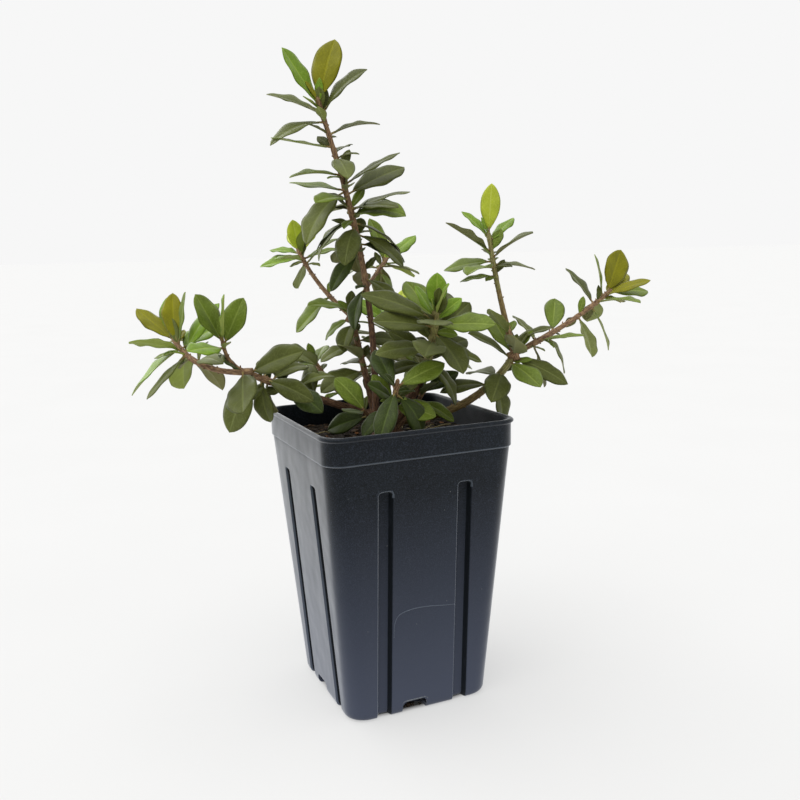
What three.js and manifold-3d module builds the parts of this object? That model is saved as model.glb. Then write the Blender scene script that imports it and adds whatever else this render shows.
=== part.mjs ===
// A young azalea shrub in its square nursery pot.
// Millimetres, +Z up. The origin is the centre of the pot's flat underside, and the pot's front
// face looks along -Y. Several woody shoots rise from one short trunk and carry whorls of leaves.
import * as THREE from 'three';
import { mergeVertices } from 'three/addons/utils/BufferGeometryUtils.js';
import Module from 'manifold-3d';

const wasm = await Module();
wasm.setup();

// The pot
const GAP = 0.3;
const POT_HEIGHT = 157;
const RIM_HALF = 54;
const LIP_HEIGHT = 2.4;
const BAND_HALF = 53.2;
const BAND_HEIGHT = 15;
const BODY_TOP_HALF = 52.5;
const FOOT_HALF = 41.2;
const FOOT_ROUND = [[3, 0], [0.9, 0.9], [0, 3]];
const CORNER_RADIUS = 10.5;
const CORNER_STEPS = 4;
const WALL = 1.5;
const FLOOR = 2;
const STEP_RISE = 0.6;
const FLUTE = { offset: 22.3, width: 8.6, depth: 3.6, top: 127 };
const NOTCH = { centre: -4.7, width: 14.5, height: 6.5, round: 3, reach: 9 };
const PAST = 6;

// The mix that fills the pot, and the short trunk that stands on it
const MIX_TOP = 145;
const TRUNK_PROFILE = [[10, 0], [8.2, 1.6], [7.2, 4], [6.5, 7], [4.8, 9.6], [2.4, 11]];
const TRUNK_TOP = 11.4;
const TRUNK_SIDES = 16;

// The shoots. Each one starts at a point, in millimetres from the trunk's foot, or at the end of
// another shoot. It leaves on a compass heading, from +X towards +Y, at a climb above the level,
// and swings and bends by so many degrees on its way. Its girth is its radius at foot and tip.
const SHOOT_STEPS = 24;
const SHOOTS = {
  leader: { from: [-5, 2, 8], length: 172, heading: 106, climb: 92, swing: 88, bend: -22, girth: [1.9, 1.2] },
  second: { from: [-4, 6, 7], length: 60, heading: 105, climb: 74, swing: 22, bend: 1, girth: [1.7, 1.5] },
  left_fork: { from: 'second', length: 55, heading: 121, climb: 31, swing: -13, bend: 21, girth: [1.4, 1.1] },
  back_fork: { from: 'second', length: 51, heading: 32, climb: 45, swing: 10, bend: -18, girth: [1.3, 1] },
  middle: { from: [5, -3, 7], length: 70, heading: -41, climb: 53, swing: -69, bend: 13, girth: [2.6, 1.8] },
  left: { from: [-5, -1, 10], length: 83, heading: 175, climb: 20, swing: 25, bend: 5, girth: [2.2, 1.6] },
  left_outer: { from: 'left', length: 50, heading: 147, climb: -3, swing: -41, bend: 41, girth: [1.5, 1.2] },
  left_side: { from: 'left', length: 21, heading: 185, climb: 27, swing: 53, bend: 44, girth: [1.1, 0.9] },
  right: { from: [5, 0, 7], length: 81, heading: -15, climb: -5, swing: -24, bend: 66, girth: [2.4, 1.9] },
  upright: { from: 'right', length: 67, heading: 107, climb: 68, swing: -9, bend: 9, girth: [1.7, 1.2] },
  outer: { from: 'right', length: 78, heading: 3, climb: 19, swing: 11, bend: 8, girth: [1.6, 1.2] },
  front: { from: [1, -5, 6], length: 46, heading: -111, climb: 31, swing: 8, bend: 14, girth: [1.6, 1.2] },
  back: { from: [3, 6, 7], length: 85, heading: 64, climb: 24, swing: 0, bend: 30, girth: [1.9, 1.2] },
  back_left: { from: [-3, 7, 6], length: 55, heading: 118, climb: 20, swing: 0, bend: 28, girth: [1.5, 1.1] },
  back_right: { from: [6, 4, 6], length: 70, heading: 38, climb: 26, swing: 0, bend: 22, girth: [1.7, 1.2] },
  low_right: { from: [7, -5, 6], length: 20, heading: -30, climb: 48, swing: 0, bend: 10, girth: [1.2, 1] },
  low_left: { from: [-6, -6, 6], length: 18, heading: 215, climb: 30, swing: 0, bend: 10, girth: [1.2, 1] },
};

// Where each shoot is bare limb and where it carries a mass of foliage, as shares of its length.
// The masses in front come first, so that they keep their leaves where two masses would meet.
const PIECES = [
  { name: 'leader_stem', shoot: 'leader', span: [0, 0.38], leafy: false },
  { name: 'second_stem', shoot: 'second', span: [0, 0.4], leafy: false },
  { name: 'middle_stem', shoot: 'middle', span: [0, 0.52], leafy: false },
  { name: 'left_branch', shoot: 'left', span: [0, 0.44], leafy: false },
  { name: 'right_branch', shoot: 'right', span: [0, 0.66], leafy: false },
  { name: 'front_stem', shoot: 'front', span: [0, 0.42], leafy: false },
  { name: 'back_stem', shoot: 'back', span: [0, 0.45], leafy: false },
  { name: 'back_left_stem', shoot: 'back_left', span: [0, 0.42], leafy: false },
  { name: 'back_right_stem', shoot: 'back_right', span: [0, 0.45], leafy: false },
  { name: 'front_foliage', shoot: 'front', span: [0.42, 1], leafy: true },
  { name: 'low_right_foliage', shoot: 'low_right', span: [0, 1], leafy: true },
  { name: 'low_left_foliage', shoot: 'low_left', span: [0, 1], leafy: true },
  { name: 'left_inner_foliage', shoot: 'left', span: [0.44, 1], leafy: true },
  { name: 'left_outer_foliage', shoot: 'left_outer', span: [0, 1], leafy: true },
  { name: 'left_side_foliage', shoot: 'left_side', span: [0, 1], leafy: true },
  { name: 'right_fork_foliage', shoot: 'right', span: [0.66, 1], leafy: true },
  { name: 'leader_lower_foliage', shoot: 'leader', span: [0.38, 0.78], leafy: true },
  { name: 'leader_top_foliage', shoot: 'leader', span: [0.78, 1], leafy: true },
  { name: 'second_foliage', shoot: 'second', span: [0.4, 1], leafy: true },
  { name: 'left_fork_foliage', shoot: 'left_fork', span: [0, 1], leafy: true },
  { name: 'back_fork_foliage', shoot: 'back_fork', span: [0, 1], leafy: true },
  { name: 'middle_foliage', shoot: 'middle', span: [0.52, 1], leafy: true },
  { name: 'upright_lower_foliage', shoot: 'upright', span: [0, 0.2], leafy: true },
  { name: 'upright_stem', shoot: 'upright', span: [0.2, 0.54], leafy: false },
  { name: 'upright_foliage', shoot: 'upright', span: [0.54, 1], leafy: true },
  { name: 'outer_lower_foliage', shoot: 'outer', span: [0, 0.42], leafy: true },
  { name: 'outer_foliage', shoot: 'outer', span: [0.42, 1], leafy: true },
  { name: 'back_foliage', shoot: 'back', span: [0.45, 1], leafy: true },
  { name: 'back_left_foliage', shoot: 'back_left', span: [0.42, 1], leafy: true },
  { name: 'back_right_foliage', shoot: 'back_right', span: [0.45, 1], leafy: true },
];

// The whorls: on which shoot and at what share of it, over what stretch of stem in millimetres,
// how many leaves, the leaves' usual length, and the turn about the stem at which the lowest leaf
// points, in degrees. A habit says how far the lowest and the highest leaf of a whorl open from
// the stem, and how far they droop along their length, in degrees. The seed starts every chance
// number.
const HABITS = {
  tip: { open: [28, 12], droop: [10, 6] },
  bud: { open: [46, 16], droop: [14, 6] },
  rising: { open: [64, 48], droop: [16, 10] },
  young: { open: [75, 40], droop: [40, 10] },
  arching: { open: [60, 50], droop: [46, 40] },
  level: { open: [88, 66], droop: [24, 8] },
  grown: { open: [95, 70], droop: [60, 24] },
  hanging: { open: [125, 95], droop: [50, 40] },
};
const WHORLS = [
  { on: 'leader', at: 0.45, stretch: 8, leaves: 3, length: 24, habit: 'hanging', turn: 170 },
  { on: 'leader', at: 0.56, stretch: 8, leaves: 3, length: 30, habit: 'hanging', turn: 190 },
  { on: 'leader', at: 0.615, stretch: 8, leaves: 5, length: 30, habit: 'hanging', turn: -45 },
  { on: 'leader', at: 0.65, stretch: 6, leaves: 3, length: 34, habit: 'grown', turn: 170 },
  { on: 'leader', at: 0.665, stretch: 2, leaves: 1, length: 34, habit: 'level', turn: -10 },
  { on: 'leader', at: 0.7, stretch: 10, leaves: 5, length: 36, habit: 'level', turn: -50 },
  { on: 'leader', at: 0.735, stretch: 3, leaves: 2, length: 38, habit: 'grown', turn: 200 },
  { on: 'leader', at: 0.775, stretch: 2, leaves: 1, length: 32, habit: 'arching', turn: 165 },
  { on: 'leader', at: 0.845, stretch: 6, leaves: 3, length: 30, habit: 'level', turn: 265 },
  { on: 'leader', at: 0.95, stretch: 4, leaves: 2, length: 38, habit: 'arching', turn: 180 },
  { on: 'leader', at: 0.965, stretch: 2, leaves: 1, length: 30, habit: 'rising', turn: 160 },
  { on: 'leader', at: 0.9, stretch: 2, leaves: 1, length: 34, habit: 'grown', turn: -10 },
  { on: 'leader', at: 0.985, stretch: 2, leaves: 1, length: 34, habit: 'tip', turn: 165 },
  { on: 'leader', at: 0.995, stretch: 2, leaves: 1, length: 30, habit: 'bud', turn: 0 },
  { on: 'second', at: 0.5, stretch: 8, leaves: 5, length: 26, habit: 'grown', turn: 45 },
  { on: 'second', at: 0.75, stretch: 8, leaves: 5, length: 22, habit: 'grown', turn: 45 },
  { on: 'second', at: 0.98, stretch: 8, leaves: 6, length: 24, habit: 'grown', turn: 225 },
  { on: 'left_fork', at: 0.34, stretch: 2, leaves: 1, length: 26, habit: 'level', turn: 140 },
  { on: 'left_fork', at: 0.88, stretch: 7, leaves: 6, length: 26, habit: 'level', turn: 315 },
  { on: 'left_fork', at: 0.98, stretch: 3, leaves: 4, length: 22, habit: 'bud', turn: 0 },
  { on: 'back_fork', at: 0.85, stretch: 8, leaves: 5, length: 26, habit: 'grown', turn: 0 },
  { on: 'back_fork', at: 0.98, stretch: 4, leaves: 4, length: 28, habit: 'bud', turn: 0 },
  { on: 'middle', at: 0.6, stretch: 6, leaves: 6, length: 28, habit: 'grown', turn: 180 },
  { on: 'middle', at: 0.74, stretch: 8, leaves: 6, length: 30, habit: 'level', turn: 45 },
  { on: 'middle', at: 0.9, stretch: 8, leaves: 6, length: 32, habit: 'level', turn: 270 },
  { on: 'middle', at: 0.95, stretch: 2, leaves: 1, length: 38, habit: 'young', turn: 150 },
  { on: 'middle', at: 0.98, stretch: 5, leaves: 4, length: 20, habit: 'bud', turn: 0 },
  { on: 'left', at: 0.5, stretch: 6, leaves: 3, length: 20, habit: 'young', turn: 45 },
  { on: 'left', at: 0.66, stretch: 6, leaves: 4, length: 30, habit: 'hanging', turn: 0 },
  { on: 'left', at: 0.84, stretch: 6, leaves: 5, length: 28, habit: 'hanging', turn: 0 },
  { on: 'left', at: 0.98, stretch: 6, leaves: 4, length: 36, habit: 'level', turn: 180 },
  { on: 'left_outer', at: 0.62, stretch: 6, leaves: 2, length: 30, habit: 'hanging', turn: 290 },
  { on: 'left_outer', at: 0.82, stretch: 8, leaves: 7, length: 34, habit: 'level', turn: 195 },
  { on: 'left_outer', at: 0.97, stretch: 4, leaves: 4, length: 26, habit: 'bud', turn: 290 },
  { on: 'left_side', at: 0.97, stretch: 4, leaves: 4, length: 28, habit: 'bud', turn: 225 },
  { on: 'right', at: 0.78, stretch: 10, leaves: 4, length: 28, habit: 'hanging', turn: 190 },
  { on: 'right', at: 0.97, stretch: 6, leaves: 7, length: 34, habit: 'level', turn: 270 },
  { on: 'upright', at: 0.12, stretch: 6, leaves: 4, length: 28, habit: 'level', turn: 180 },
  { on: 'upright', at: 0.66, stretch: 2, leaves: 1, length: 24, habit: 'level', turn: 140 },
  { on: 'upright', at: 0.8, stretch: 9, leaves: 6, length: 32, habit: 'level', turn: 225 },
  { on: 'upright', at: 0.98, stretch: 4, leaves: 3, length: 26, habit: 'bud', turn: 0 },
  { on: 'outer', at: 0.18, stretch: 8, leaves: 4, length: 26, habit: 'level', turn: 225 },
  { on: 'outer', at: 0.3, stretch: 8, leaves: 3, length: 26, habit: 'young', turn: 225 },
  { on: 'outer', at: 0.62, stretch: 2, leaves: 1, length: 30, habit: 'young', turn: 0 },
  { on: 'outer', at: 0.84, stretch: 10, leaves: 5, length: 26, habit: 'level', turn: 0 },
  { on: 'outer', at: 0.97, stretch: 5, leaves: 5, length: 28, habit: 'bud', turn: 270 },
  { on: 'front', at: 0.56, stretch: 8, leaves: 6, length: 22, habit: 'young', turn: 180 },
  { on: 'front', at: 0.85, stretch: 6, leaves: 4, length: 30, habit: 'grown', turn: 300 },
  { on: 'back', at: 0.56, stretch: 10, leaves: 5, length: 28, habit: 'grown', turn: 156 },
  { on: 'back', at: 0.78, stretch: 10, leaves: 6, length: 30, habit: 'grown', turn: -24 },
  { on: 'back', at: 0.97, stretch: 6, leaves: 5, length: 26, habit: 'bud', turn: 156 },
  { on: 'back_left', at: 0.62, stretch: 8, leaves: 4, length: 26, habit: 'grown', turn: 156 },
  { on: 'back_left', at: 0.94, stretch: 8, leaves: 5, length: 26, habit: 'young', turn: -24 },
  { on: 'back_right', at: 0.6, stretch: 10, leaves: 5, length: 30, habit: 'grown', turn: 156 },
  { on: 'back_right', at: 0.93, stretch: 10, leaves: 6, length: 28, habit: 'young', turn: -24 },
  { on: 'low_right', at: 0.9, stretch: 5, leaves: 4, length: 26, habit: 'young', turn: 330 },
  { on: 'low_left', at: 0.85, stretch: 5, leaves: 4, length: 24, habit: 'young', turn: 150 },
];
const SEED = 553601;

// The leaves
const GOLDEN_TURN = 137.5;
const LEAF_STATIONS = [0, 0.14, 0.34, 0.62, 0.88, 1];
const LEAF_THICKNESS = [1.1, 0.9, 0.65, 0.55, 0.45, 0.4];
const PETIOLE_SHARE = 0.13;
const PETIOLE_HALF = 0.55;
const TIP_HALF = 0.2;
const BLADE_SKEW = 1.15;
const BLADE_FULLNESS = 0.68;
const SLENDERNESS = 0.46;
const FOLD = 9;
const LEAST_BEND = 0.0001;
const JITTER = { turn: 24, open: 20, size: 0.3, droop: 24, twist: 36, width: 0.2 };
const FIRST_NUMBERS = 3;
const TIPWARD = 0.5;
const LEAF_ROOM = 0.5;

// The twigs
const TWIG_SIDES = 6;
const LIMB_SIDES = 8;
const RING_SPACING = 8;
const ROOT_REACH = 4;
const BUD_REACH = 3;
const BUD_GIRTH = 0.6;

const NORTH = new THREE.Vector3(0, 1, 0);
const LIGHT = new THREE.Vector3(-0.25, -0.55, 0.8).normalize();
const radians = THREE.MathUtils.degToRad;
const mix = THREE.MathUtils.lerp;

// Geometry helpers: a closed skin over equal rings of points, and the way to a solid and back

function loft(rings) {
  const sides = rings[0].length;
  const triangles = [];
  for (let ring = 0; ring + 1 < rings.length; ring += 1) {
    for (let side = 0; side < sides; side += 1) {
      const here = ring * sides + side;
      const beside = ring * sides + (side + 1) % sides;
      triangles.push(here, beside, beside + sides, here, beside + sides, here + sides);
    }
  }
  const last = (rings.length - 1) * sides;
  for (let side = 1; side + 1 < sides; side += 1) {
    triangles.push(0, side + 1, side, last, last + side, last + side + 1);
  }
  const geometry = new THREE.BufferGeometry().setFromPoints(rings.flat());
  geometry.setIndex(triangles);
  return geometry;
}

function solidOf(geometry) {
  const bare = geometry.clone();
  bare.deleteAttribute('normal');
  bare.deleteAttribute('uv');
  const merged = mergeVertices(bare);
  return new wasm.Manifold(new wasm.Mesh({
    numProp: 3,
    vertProperties: new Float32Array(merged.attributes.position.array),
    triVerts: new Uint32Array(merged.index.array),
  }));
}

function geometryOf(solid) {
  const mesh = solid.getMesh();
  const geometry = new THREE.BufferGeometry();
  geometry.setAttribute('position', new THREE.BufferAttribute(mesh.vertProperties, 3));
  geometry.setIndex(new THREE.BufferAttribute(mesh.triVerts, 1));
  return geometry;
}

// The largest piece of a solid, with any sealed hollow filled and loose scraps dropped
function largestPiece(solid) {
  const pieces = solid.decompose();
  return pieces.reduce((best, piece) => (piece.volume() > best.volume() ? piece : best));
}

function boxesMeet(one, other) {
  const a = one.boundingBox();
  const b = other.boundingBox();
  return a.min.every((low, axis) => low <= b.max[axis] && b.min[axis] <= a.max[axis]);
}

// The pot

function roundedSquare(half, z) {
  const points = [];
  for (let corner = 0; corner < 4; corner += 1) {
    const middle = new THREE.Vector2(half - CORNER_RADIUS, half - CORNER_RADIUS);
    for (let step = 0; step <= CORNER_STEPS; step += 1) {
      const angle = Math.PI / 2 * (step / CORNER_STEPS);
      const point = new THREE.Vector2(Math.cos(angle), Math.sin(angle)).multiplyScalar(CORNER_RADIUS);
      point.add(middle).rotateAround(new THREE.Vector2(), Math.PI / 2 * corner);
      points.push(new THREE.Vector3(point.x, point.y, z));
    }
  }
  return points;
}

function bodyHalf(z) {
  return mix(FOOT_HALF, BODY_TOP_HALF, z / (POT_HEIGHT - BAND_HEIGHT));
}

function potOutside() {
  const ledge = POT_HEIGHT - BAND_HEIGHT;
  return solidOf(loft([
    ...FOOT_ROUND.map(([inset, z]) => roundedSquare(bodyHalf(z) - inset, z)),
    roundedSquare(BODY_TOP_HALF, ledge),
    roundedSquare(BAND_HALF, ledge + STEP_RISE),
    roundedSquare(BAND_HALF, POT_HEIGHT - LIP_HEIGHT),
    roundedSquare(RIM_HALF, POT_HEIGHT - LIP_HEIGHT + STEP_RISE),
    roundedSquare(RIM_HALF, POT_HEIGHT - STEP_RISE),
    roundedSquare(RIM_HALF - STEP_RISE / 2, POT_HEIGHT),
  ]));
}

// The room inside the pot's wall, drawn in by a further margin and up to a given height
function potRoom(margin, top) {
  const ledge = POT_HEIGHT - BAND_HEIGHT;
  const inset = WALL + margin;
  const floor = FLOOR + margin;
  const room = solidOf(loft([
    roundedSquare(bodyHalf(floor) - inset, floor),
    roundedSquare(BODY_TOP_HALF - inset, ledge),
    roundedSquare(BAND_HALF - inset, ledge + STEP_RISE),
    roundedSquare(BAND_HALF - inset, top),
  ]));
  return flutes(inset).reduce((rest, flute) => rest.subtract(flute), room);
}

// The eight upright channels pressed into the walls, two to a face, grown by a margin
function flutes(margin) {
  const half = FLUTE.width / 2 + margin;
  const straight = FLUTE.top - FLUTE.width / 2;
  const outline = new THREE.Shape();
  outline.moveTo(-half, -PAST);
  outline.lineTo(half, -PAST);
  outline.lineTo(half, straight);
  outline.absarc(0, straight, half, 0, Math.PI, false);
  outline.closePath();
  const depth = PAST + FLUTE.depth + margin;
  const channel = new THREE.ExtrudeGeometry(outline, { depth, bevelEnabled: false, curveSegments: 4 });
  channel.rotateX(Math.PI / 2);
  channel.translate(0, FLUTE.depth + margin, 0);
  channel.rotateX(Math.atan((BODY_TOP_HALF - FOOT_HALF) / (POT_HEIGHT - BAND_HEIGHT)));
  const channels = [];
  for (let face = 0; face < 4; face += 1) {
    for (const side of [-1, 1]) {
      const placed = channel.clone().translate(side * FLUTE.offset, -FOOT_HALF, 0);
      channels.push(solidOf(placed.rotateZ(Math.PI / 2 * face)));
    }
  }
  return channels;
}

// The drainage notch at the foot of each wall, which also opens the floor's edge
function notches() {
  const half = NOTCH.width / 2;
  const outline = new THREE.Shape();
  outline.moveTo(-half, -PAST);
  outline.lineTo(half, -PAST);
  outline.lineTo(half, NOTCH.height - NOTCH.round);
  outline.absarc(half - NOTCH.round, NOTCH.height - NOTCH.round, NOTCH.round, 0, Math.PI / 2, false);
  outline.absarc(NOTCH.round - half, NOTCH.height - NOTCH.round, NOTCH.round, Math.PI / 2, Math.PI, false);
  outline.closePath();
  const depth = PAST + NOTCH.reach;
  const arch = new THREE.ExtrudeGeometry(outline, { depth, bevelEnabled: false, curveSegments: 3 });
  arch.rotateX(Math.PI / 2);
  arch.translate(NOTCH.centre, NOTCH.reach - FOOT_HALF, 0);
  return [0, 1, 2, 3].map((face) => solidOf(arch.clone().rotateZ(Math.PI / 2 * face)));
}

function potSolid() {
  const cuts = [...flutes(0), potRoom(0, POT_HEIGHT + PAST), ...notches()];
  return cuts.reduce((rest, cut) => rest.subtract(cut), potOutside());
}

// The trunk

function trunkSolid(margin) {
  const profile = TRUNK_PROFILE.map(([radius, height]) => new THREE.Vector2(radius + margin, height));
  const foot = new THREE.Vector2(0, -margin);
  const rim = new THREE.Vector2(TRUNK_PROFILE[0][0] + margin, -margin);
  const top = new THREE.Vector2(0, TRUNK_TOP + margin);
  const outline = margin > 0 ? [foot, rim, ...profile, top] : [foot, ...profile, top];
  return solidOf(new THREE.LatheGeometry(outline, TRUNK_SIDES).rotateX(Math.PI / 2));
}

// The shoots

const grownPaths = new Map();

function pathOf(name) {
  if (!grownPaths.has(name)) {
    const shoot = SHOOTS[name];
    const isFork = typeof shoot.from === 'string';
    const start = isFork ? pathOf(shoot.from).at(-1) : new THREE.Vector3(...shoot.from);
    const path = [start.clone()];
    for (let step = 0; step < SHOOT_STEPS; step += 1) {
      const share = (step + 0.5) / SHOOT_STEPS;
      const climb = radians(shoot.climb + shoot.bend * share);
      const heading = radians(shoot.heading + shoot.swing * share);
      const along = new THREE.Vector3(
        Math.cos(climb) * Math.cos(heading),
        Math.cos(climb) * Math.sin(heading),
        Math.sin(climb),
      );
      path.push(path.at(-1).clone().addScaledVector(along, shoot.length / SHOOT_STEPS));
    }
    grownPaths.set(name, path);
  }
  return grownPaths.get(name);
}

// The point at a share of a shoot and the way the shoot runs there, also past its two ends
function pointOn(name, share) {
  const path = pathOf(name);
  const place = share * SHOOT_STEPS;
  const step = Math.min(Math.max(Math.floor(place), 0), SHOOT_STEPS - 1);
  const along = path[step + 1].clone().sub(path[step]);
  const point = path[step].clone().addScaledVector(along, place - step);
  return { point, along: along.normalize() };
}

// Two directions square to a shoot, from which its leaves' turns are counted
function crossAxes(along) {
  const first = NORTH.clone().cross(along).normalize();
  return [first, along.clone().cross(first)];
}

function twigRing(name, share, radius, sides) {
  const { point, along } = pointOn(name, share);
  const [first, second] = crossAxes(along);
  return Array.from({ length: sides }, (_, side) => {
    const angle = 2 * Math.PI * side / sides;
    return point.clone()
      .addScaledVector(first, radius * Math.cos(angle))
      .addScaledVector(second, radius * Math.sin(angle));
  });
}

// A tapering length of one shoot. A limb's foot reaches back into the wood that it springs from,
// and a shoot's last length ends in a bud. A margin grows it all round.
function twigSolid(piece, margin) {
  const { length, girth } = SHOOTS[piece.shoot];
  const sides = piece.leafy ? TWIG_SIDES : LIMB_SIDES;
  const [from, to] = piece.span;
  const start = from === 0 ? -ROOT_REACH / length : from + GAP / 2 / length;
  const end = to - GAP / 2 / length;
  const steps = Math.max(2, Math.round((end - start) * length / RING_SPACING));
  const rings = [];
  for (let step = 0; step <= steps; step += 1) {
    const share = mix(start, end, step / steps);
    const slack = step === 0 ? -margin : (step === steps ? margin : 0);
    const radius = mix(girth[0], girth[1], Math.max(share, 0)) + margin;
    rings.push(twigRing(piece.shoot, share + slack / length, radius, sides));
  }
  if (to === 1) {
    rings.push(twigRing(piece.shoot, end + (BUD_REACH + margin) / length, BUD_GIRTH + margin, sides));
  }
  return solidOf(loft(rings));
}

// The leaves

// The same numbers come for the same seed, each from 0 up to 1. The first few, which are much
// alike for neighbouring seeds, are left out.
function seededNumbers(seed) {
  let state = Math.imul(seed, 2654435761) >>> 0;
  const next = () => {
    state = (Math.imul(state, 1664525) + 1013904223) >>> 0;
    return state / 2 ** 32;
  };
  for (let count = 0; count < FIRST_NUMBERS; count += 1) {
    next();
  }
  return next;
}

// A whorl's leaves, lowest first: each springs from the stem's heart a golden turn on from the
// last, opens from the stem, and turns its upper face to the light and a little to the shoot's tip
function leavesOf(whorl) {
  const random = seededNumbers(SEED + WHORLS.indexOf(whorl) + 1);
  const sway = (amount) => amount * (random() - 0.5);
  const habit = HABITS[whorl.habit];
  const { length } = SHOOTS[whorl.on];
  return Array.from({ length: whorl.leaves }, (_, index) => {
    const height = whorl.leaves > 1 ? index / (whorl.leaves - 1) : 0.5;
    const { point, along } = pointOn(whorl.on, whorl.at + whorl.stretch * (height - 0.5) / length);
    const [first, second] = crossAxes(along);
    const turn = radians(whorl.turn + GOLDEN_TURN * index + sway(JITTER.turn));
    const open = radians(mix(...habit.open, height) + sway(JITTER.open));
    const size = whorl.length * (1 + sway(JITTER.size));
    const droop = radians(mix(...habit.droop, height) + sway(JITTER.droop));
    const twist = radians(sway(JITTER.twist));
    const width = size * (SLENDERNESS + sway(JITTER.width));
    const out = along.clone().multiplyScalar(Math.cos(open))
      .addScaledVector(first, Math.sin(open) * Math.cos(turn))
      .addScaledVector(second, Math.sin(open) * Math.sin(turn));
    const bright = LIGHT.clone().addScaledVector(along, TIPWARD).normalize();
    const level = bright.addScaledVector(out, -bright.dot(out)).normalize();
    const face = level.clone().multiplyScalar(Math.cos(twist))
      .addScaledVector(out.clone().cross(level), Math.sin(twist));
    return { point, out, face, side: out.clone().cross(face), size, droop, width };
  });
}

// The leaf's midrib arches away from its upper face
function midribPoint(leaf, share) {
  const bend = Math.abs(leaf.droop * share) < LEAST_BEND ? LEAST_BEND : leaf.droop * share;
  const reach = leaf.size * share;
  return leaf.point.clone()
    .addScaledVector(leaf.out, reach * Math.sin(bend) / bend)
    .addScaledVector(leaf.face, -reach * (1 - Math.cos(bend)) / bend);
}

// The blade's half width at a share of the leaf's length, widest a little past the middle
function bladeHalf(leaf, share) {
  const blade = Math.max(0, (share - PETIOLE_SHARE) / (1 - PETIOLE_SHARE));
  const swell = Math.max(0, Math.sin(Math.PI * blade ** BLADE_SKEW)) ** BLADE_FULLNESS;
  return Math.max(leaf.width / 2 * swell, share === 1 ? TIP_HALF : PETIOLE_HALF);
}

// A leaf is a thin arched blade, folded a little along its midrib, on a short stalk
function leafSolid(leaf, margin) {
  const rings = LEAF_STATIONS.map((share, station) => {
    const bend = leaf.droop * share;
    const heart = midribPoint(leaf, share);
    const face = leaf.face.clone().multiplyScalar(Math.cos(bend)).addScaledVector(leaf.out, Math.sin(bend));
    const half = bladeHalf(leaf, share) + margin;
    const thick = LEAF_THICKNESS[station] / 2 + margin;
    const lift = half * Math.sin(radians(FOLD));
    const reach = half * Math.cos(radians(FOLD));
    const edge = (way) => heart.clone().addScaledVector(leaf.side, way * reach).addScaledVector(face, lift);
    return [heart.clone().addScaledVector(face, -thick), edge(-1), edge(1)];
  });
  return solidOf(loft(rings));
}

// Building the pieces

const SOIL_LEVEL = MIX_TOP + GAP;
const pot = potSolid();
const filling = potRoom(GAP, MIX_TOP);
const trunk = trunkSolid(0);

const stems = PIECES.map((piece) => ({ piece, solid: twigSolid(piece, 0), grown: twigSolid(piece, GAP) }));
const trunkGrown = trunkSolid(GAP);
stems.forEach((stem, order) => {
  const carriers = [trunkGrown, ...stems.slice(0, order).map((earlier) => earlier.grown)];
  for (const carrier of carriers) {
    if (boxesMeet(stem.solid, carrier)) {
      stem.solid = stem.solid.subtract(carrier);
    }
  }
  stem.solid = largestPiece(stem.solid);
});

// The pot and the mix as they lie around the plant, whose own heights start at the mix
const surroundings = [pot, filling].map((solid) => solidOf(geometryOf(solid).translate(0, 0, -SOIL_LEVEL)));
surroundings.push(trunk);

function onPiece(whorl, piece) {
  return whorl.on === piece.shoot && whorl.at > piece.span[0] && whorl.at <= piece.span[1];
}

// A leaf that would touch another piece of the plant, the pot or the mix isn't grown
function hasRoom(leaf, others) {
  const guard = leafSolid(leaf, LEAF_ROOM);
  return !others.some((other) => boxesMeet(guard, other) && guard.intersect(other).volume() > 0);
}

for (const stem of stems.filter((each) => each.piece.leafy)) {
  const others = stems.filter((each) => each !== stem).map((each) => each.solid).concat(surroundings);
  const leaves = WHORLS.filter((whorl) => onPiece(whorl, stem.piece)).flatMap(leavesOf);
  const kept = leaves.filter((leaf) => hasRoom(leaf, others));
  stem.solid = largestPiece(kept.reduce((sum, leaf) => sum.add(leafSolid(leaf, 0)), stem.solid));
}

// Naming and colours

const COLOURS = {
  pot: { color: '#343a45', roughness: 0.55, metalness: 0 },
  filling: { color: '#2a2018', roughness: 0.95, metalness: 0 },
  bark: { color: '#5a3a2c', roughness: 0.85, metalness: 0 },
  foliage: { color: '#4d6b2c', roughness: 0.6, metalness: 0 },
};

function namedMesh(name, solid, finish) {
  const mesh = new THREE.Mesh(geometryOf(solid), new THREE.MeshStandardMaterial(COLOURS[finish]));
  mesh.name = name;
  return mesh;
}

const plant = new THREE.Group();
plant.position.z = SOIL_LEVEL;
plant.add(namedMesh('trunk', trunk, 'bark'));
for (const { piece, solid } of stems) {
  plant.add(namedMesh(piece.name, solid, piece.leafy ? 'foliage' : 'bark'));
}

const group = new THREE.Group();
group.add(namedMesh('pot', pot, 'pot'));
group.add(namedMesh('potting_mix', filling, 'filling'));
group.add(plant);

export default group;
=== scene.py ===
# %% [markdown]
# # A young azalea shrub in its square nursery pot
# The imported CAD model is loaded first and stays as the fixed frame. It says where the pot stands
# and how far every shoot reaches. Each solid is then covered by a finer piece: a moulded pot, real
# potting mix, bark with relief, and thin leaves. A part could also be modelled by eye, but then it
# would no longer match the solids that carry its weight and its collisions.

# %% Load the frame
import math
import random

import bpy
import numpy as np
from mathutils import Matrix, Vector, noise


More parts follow.
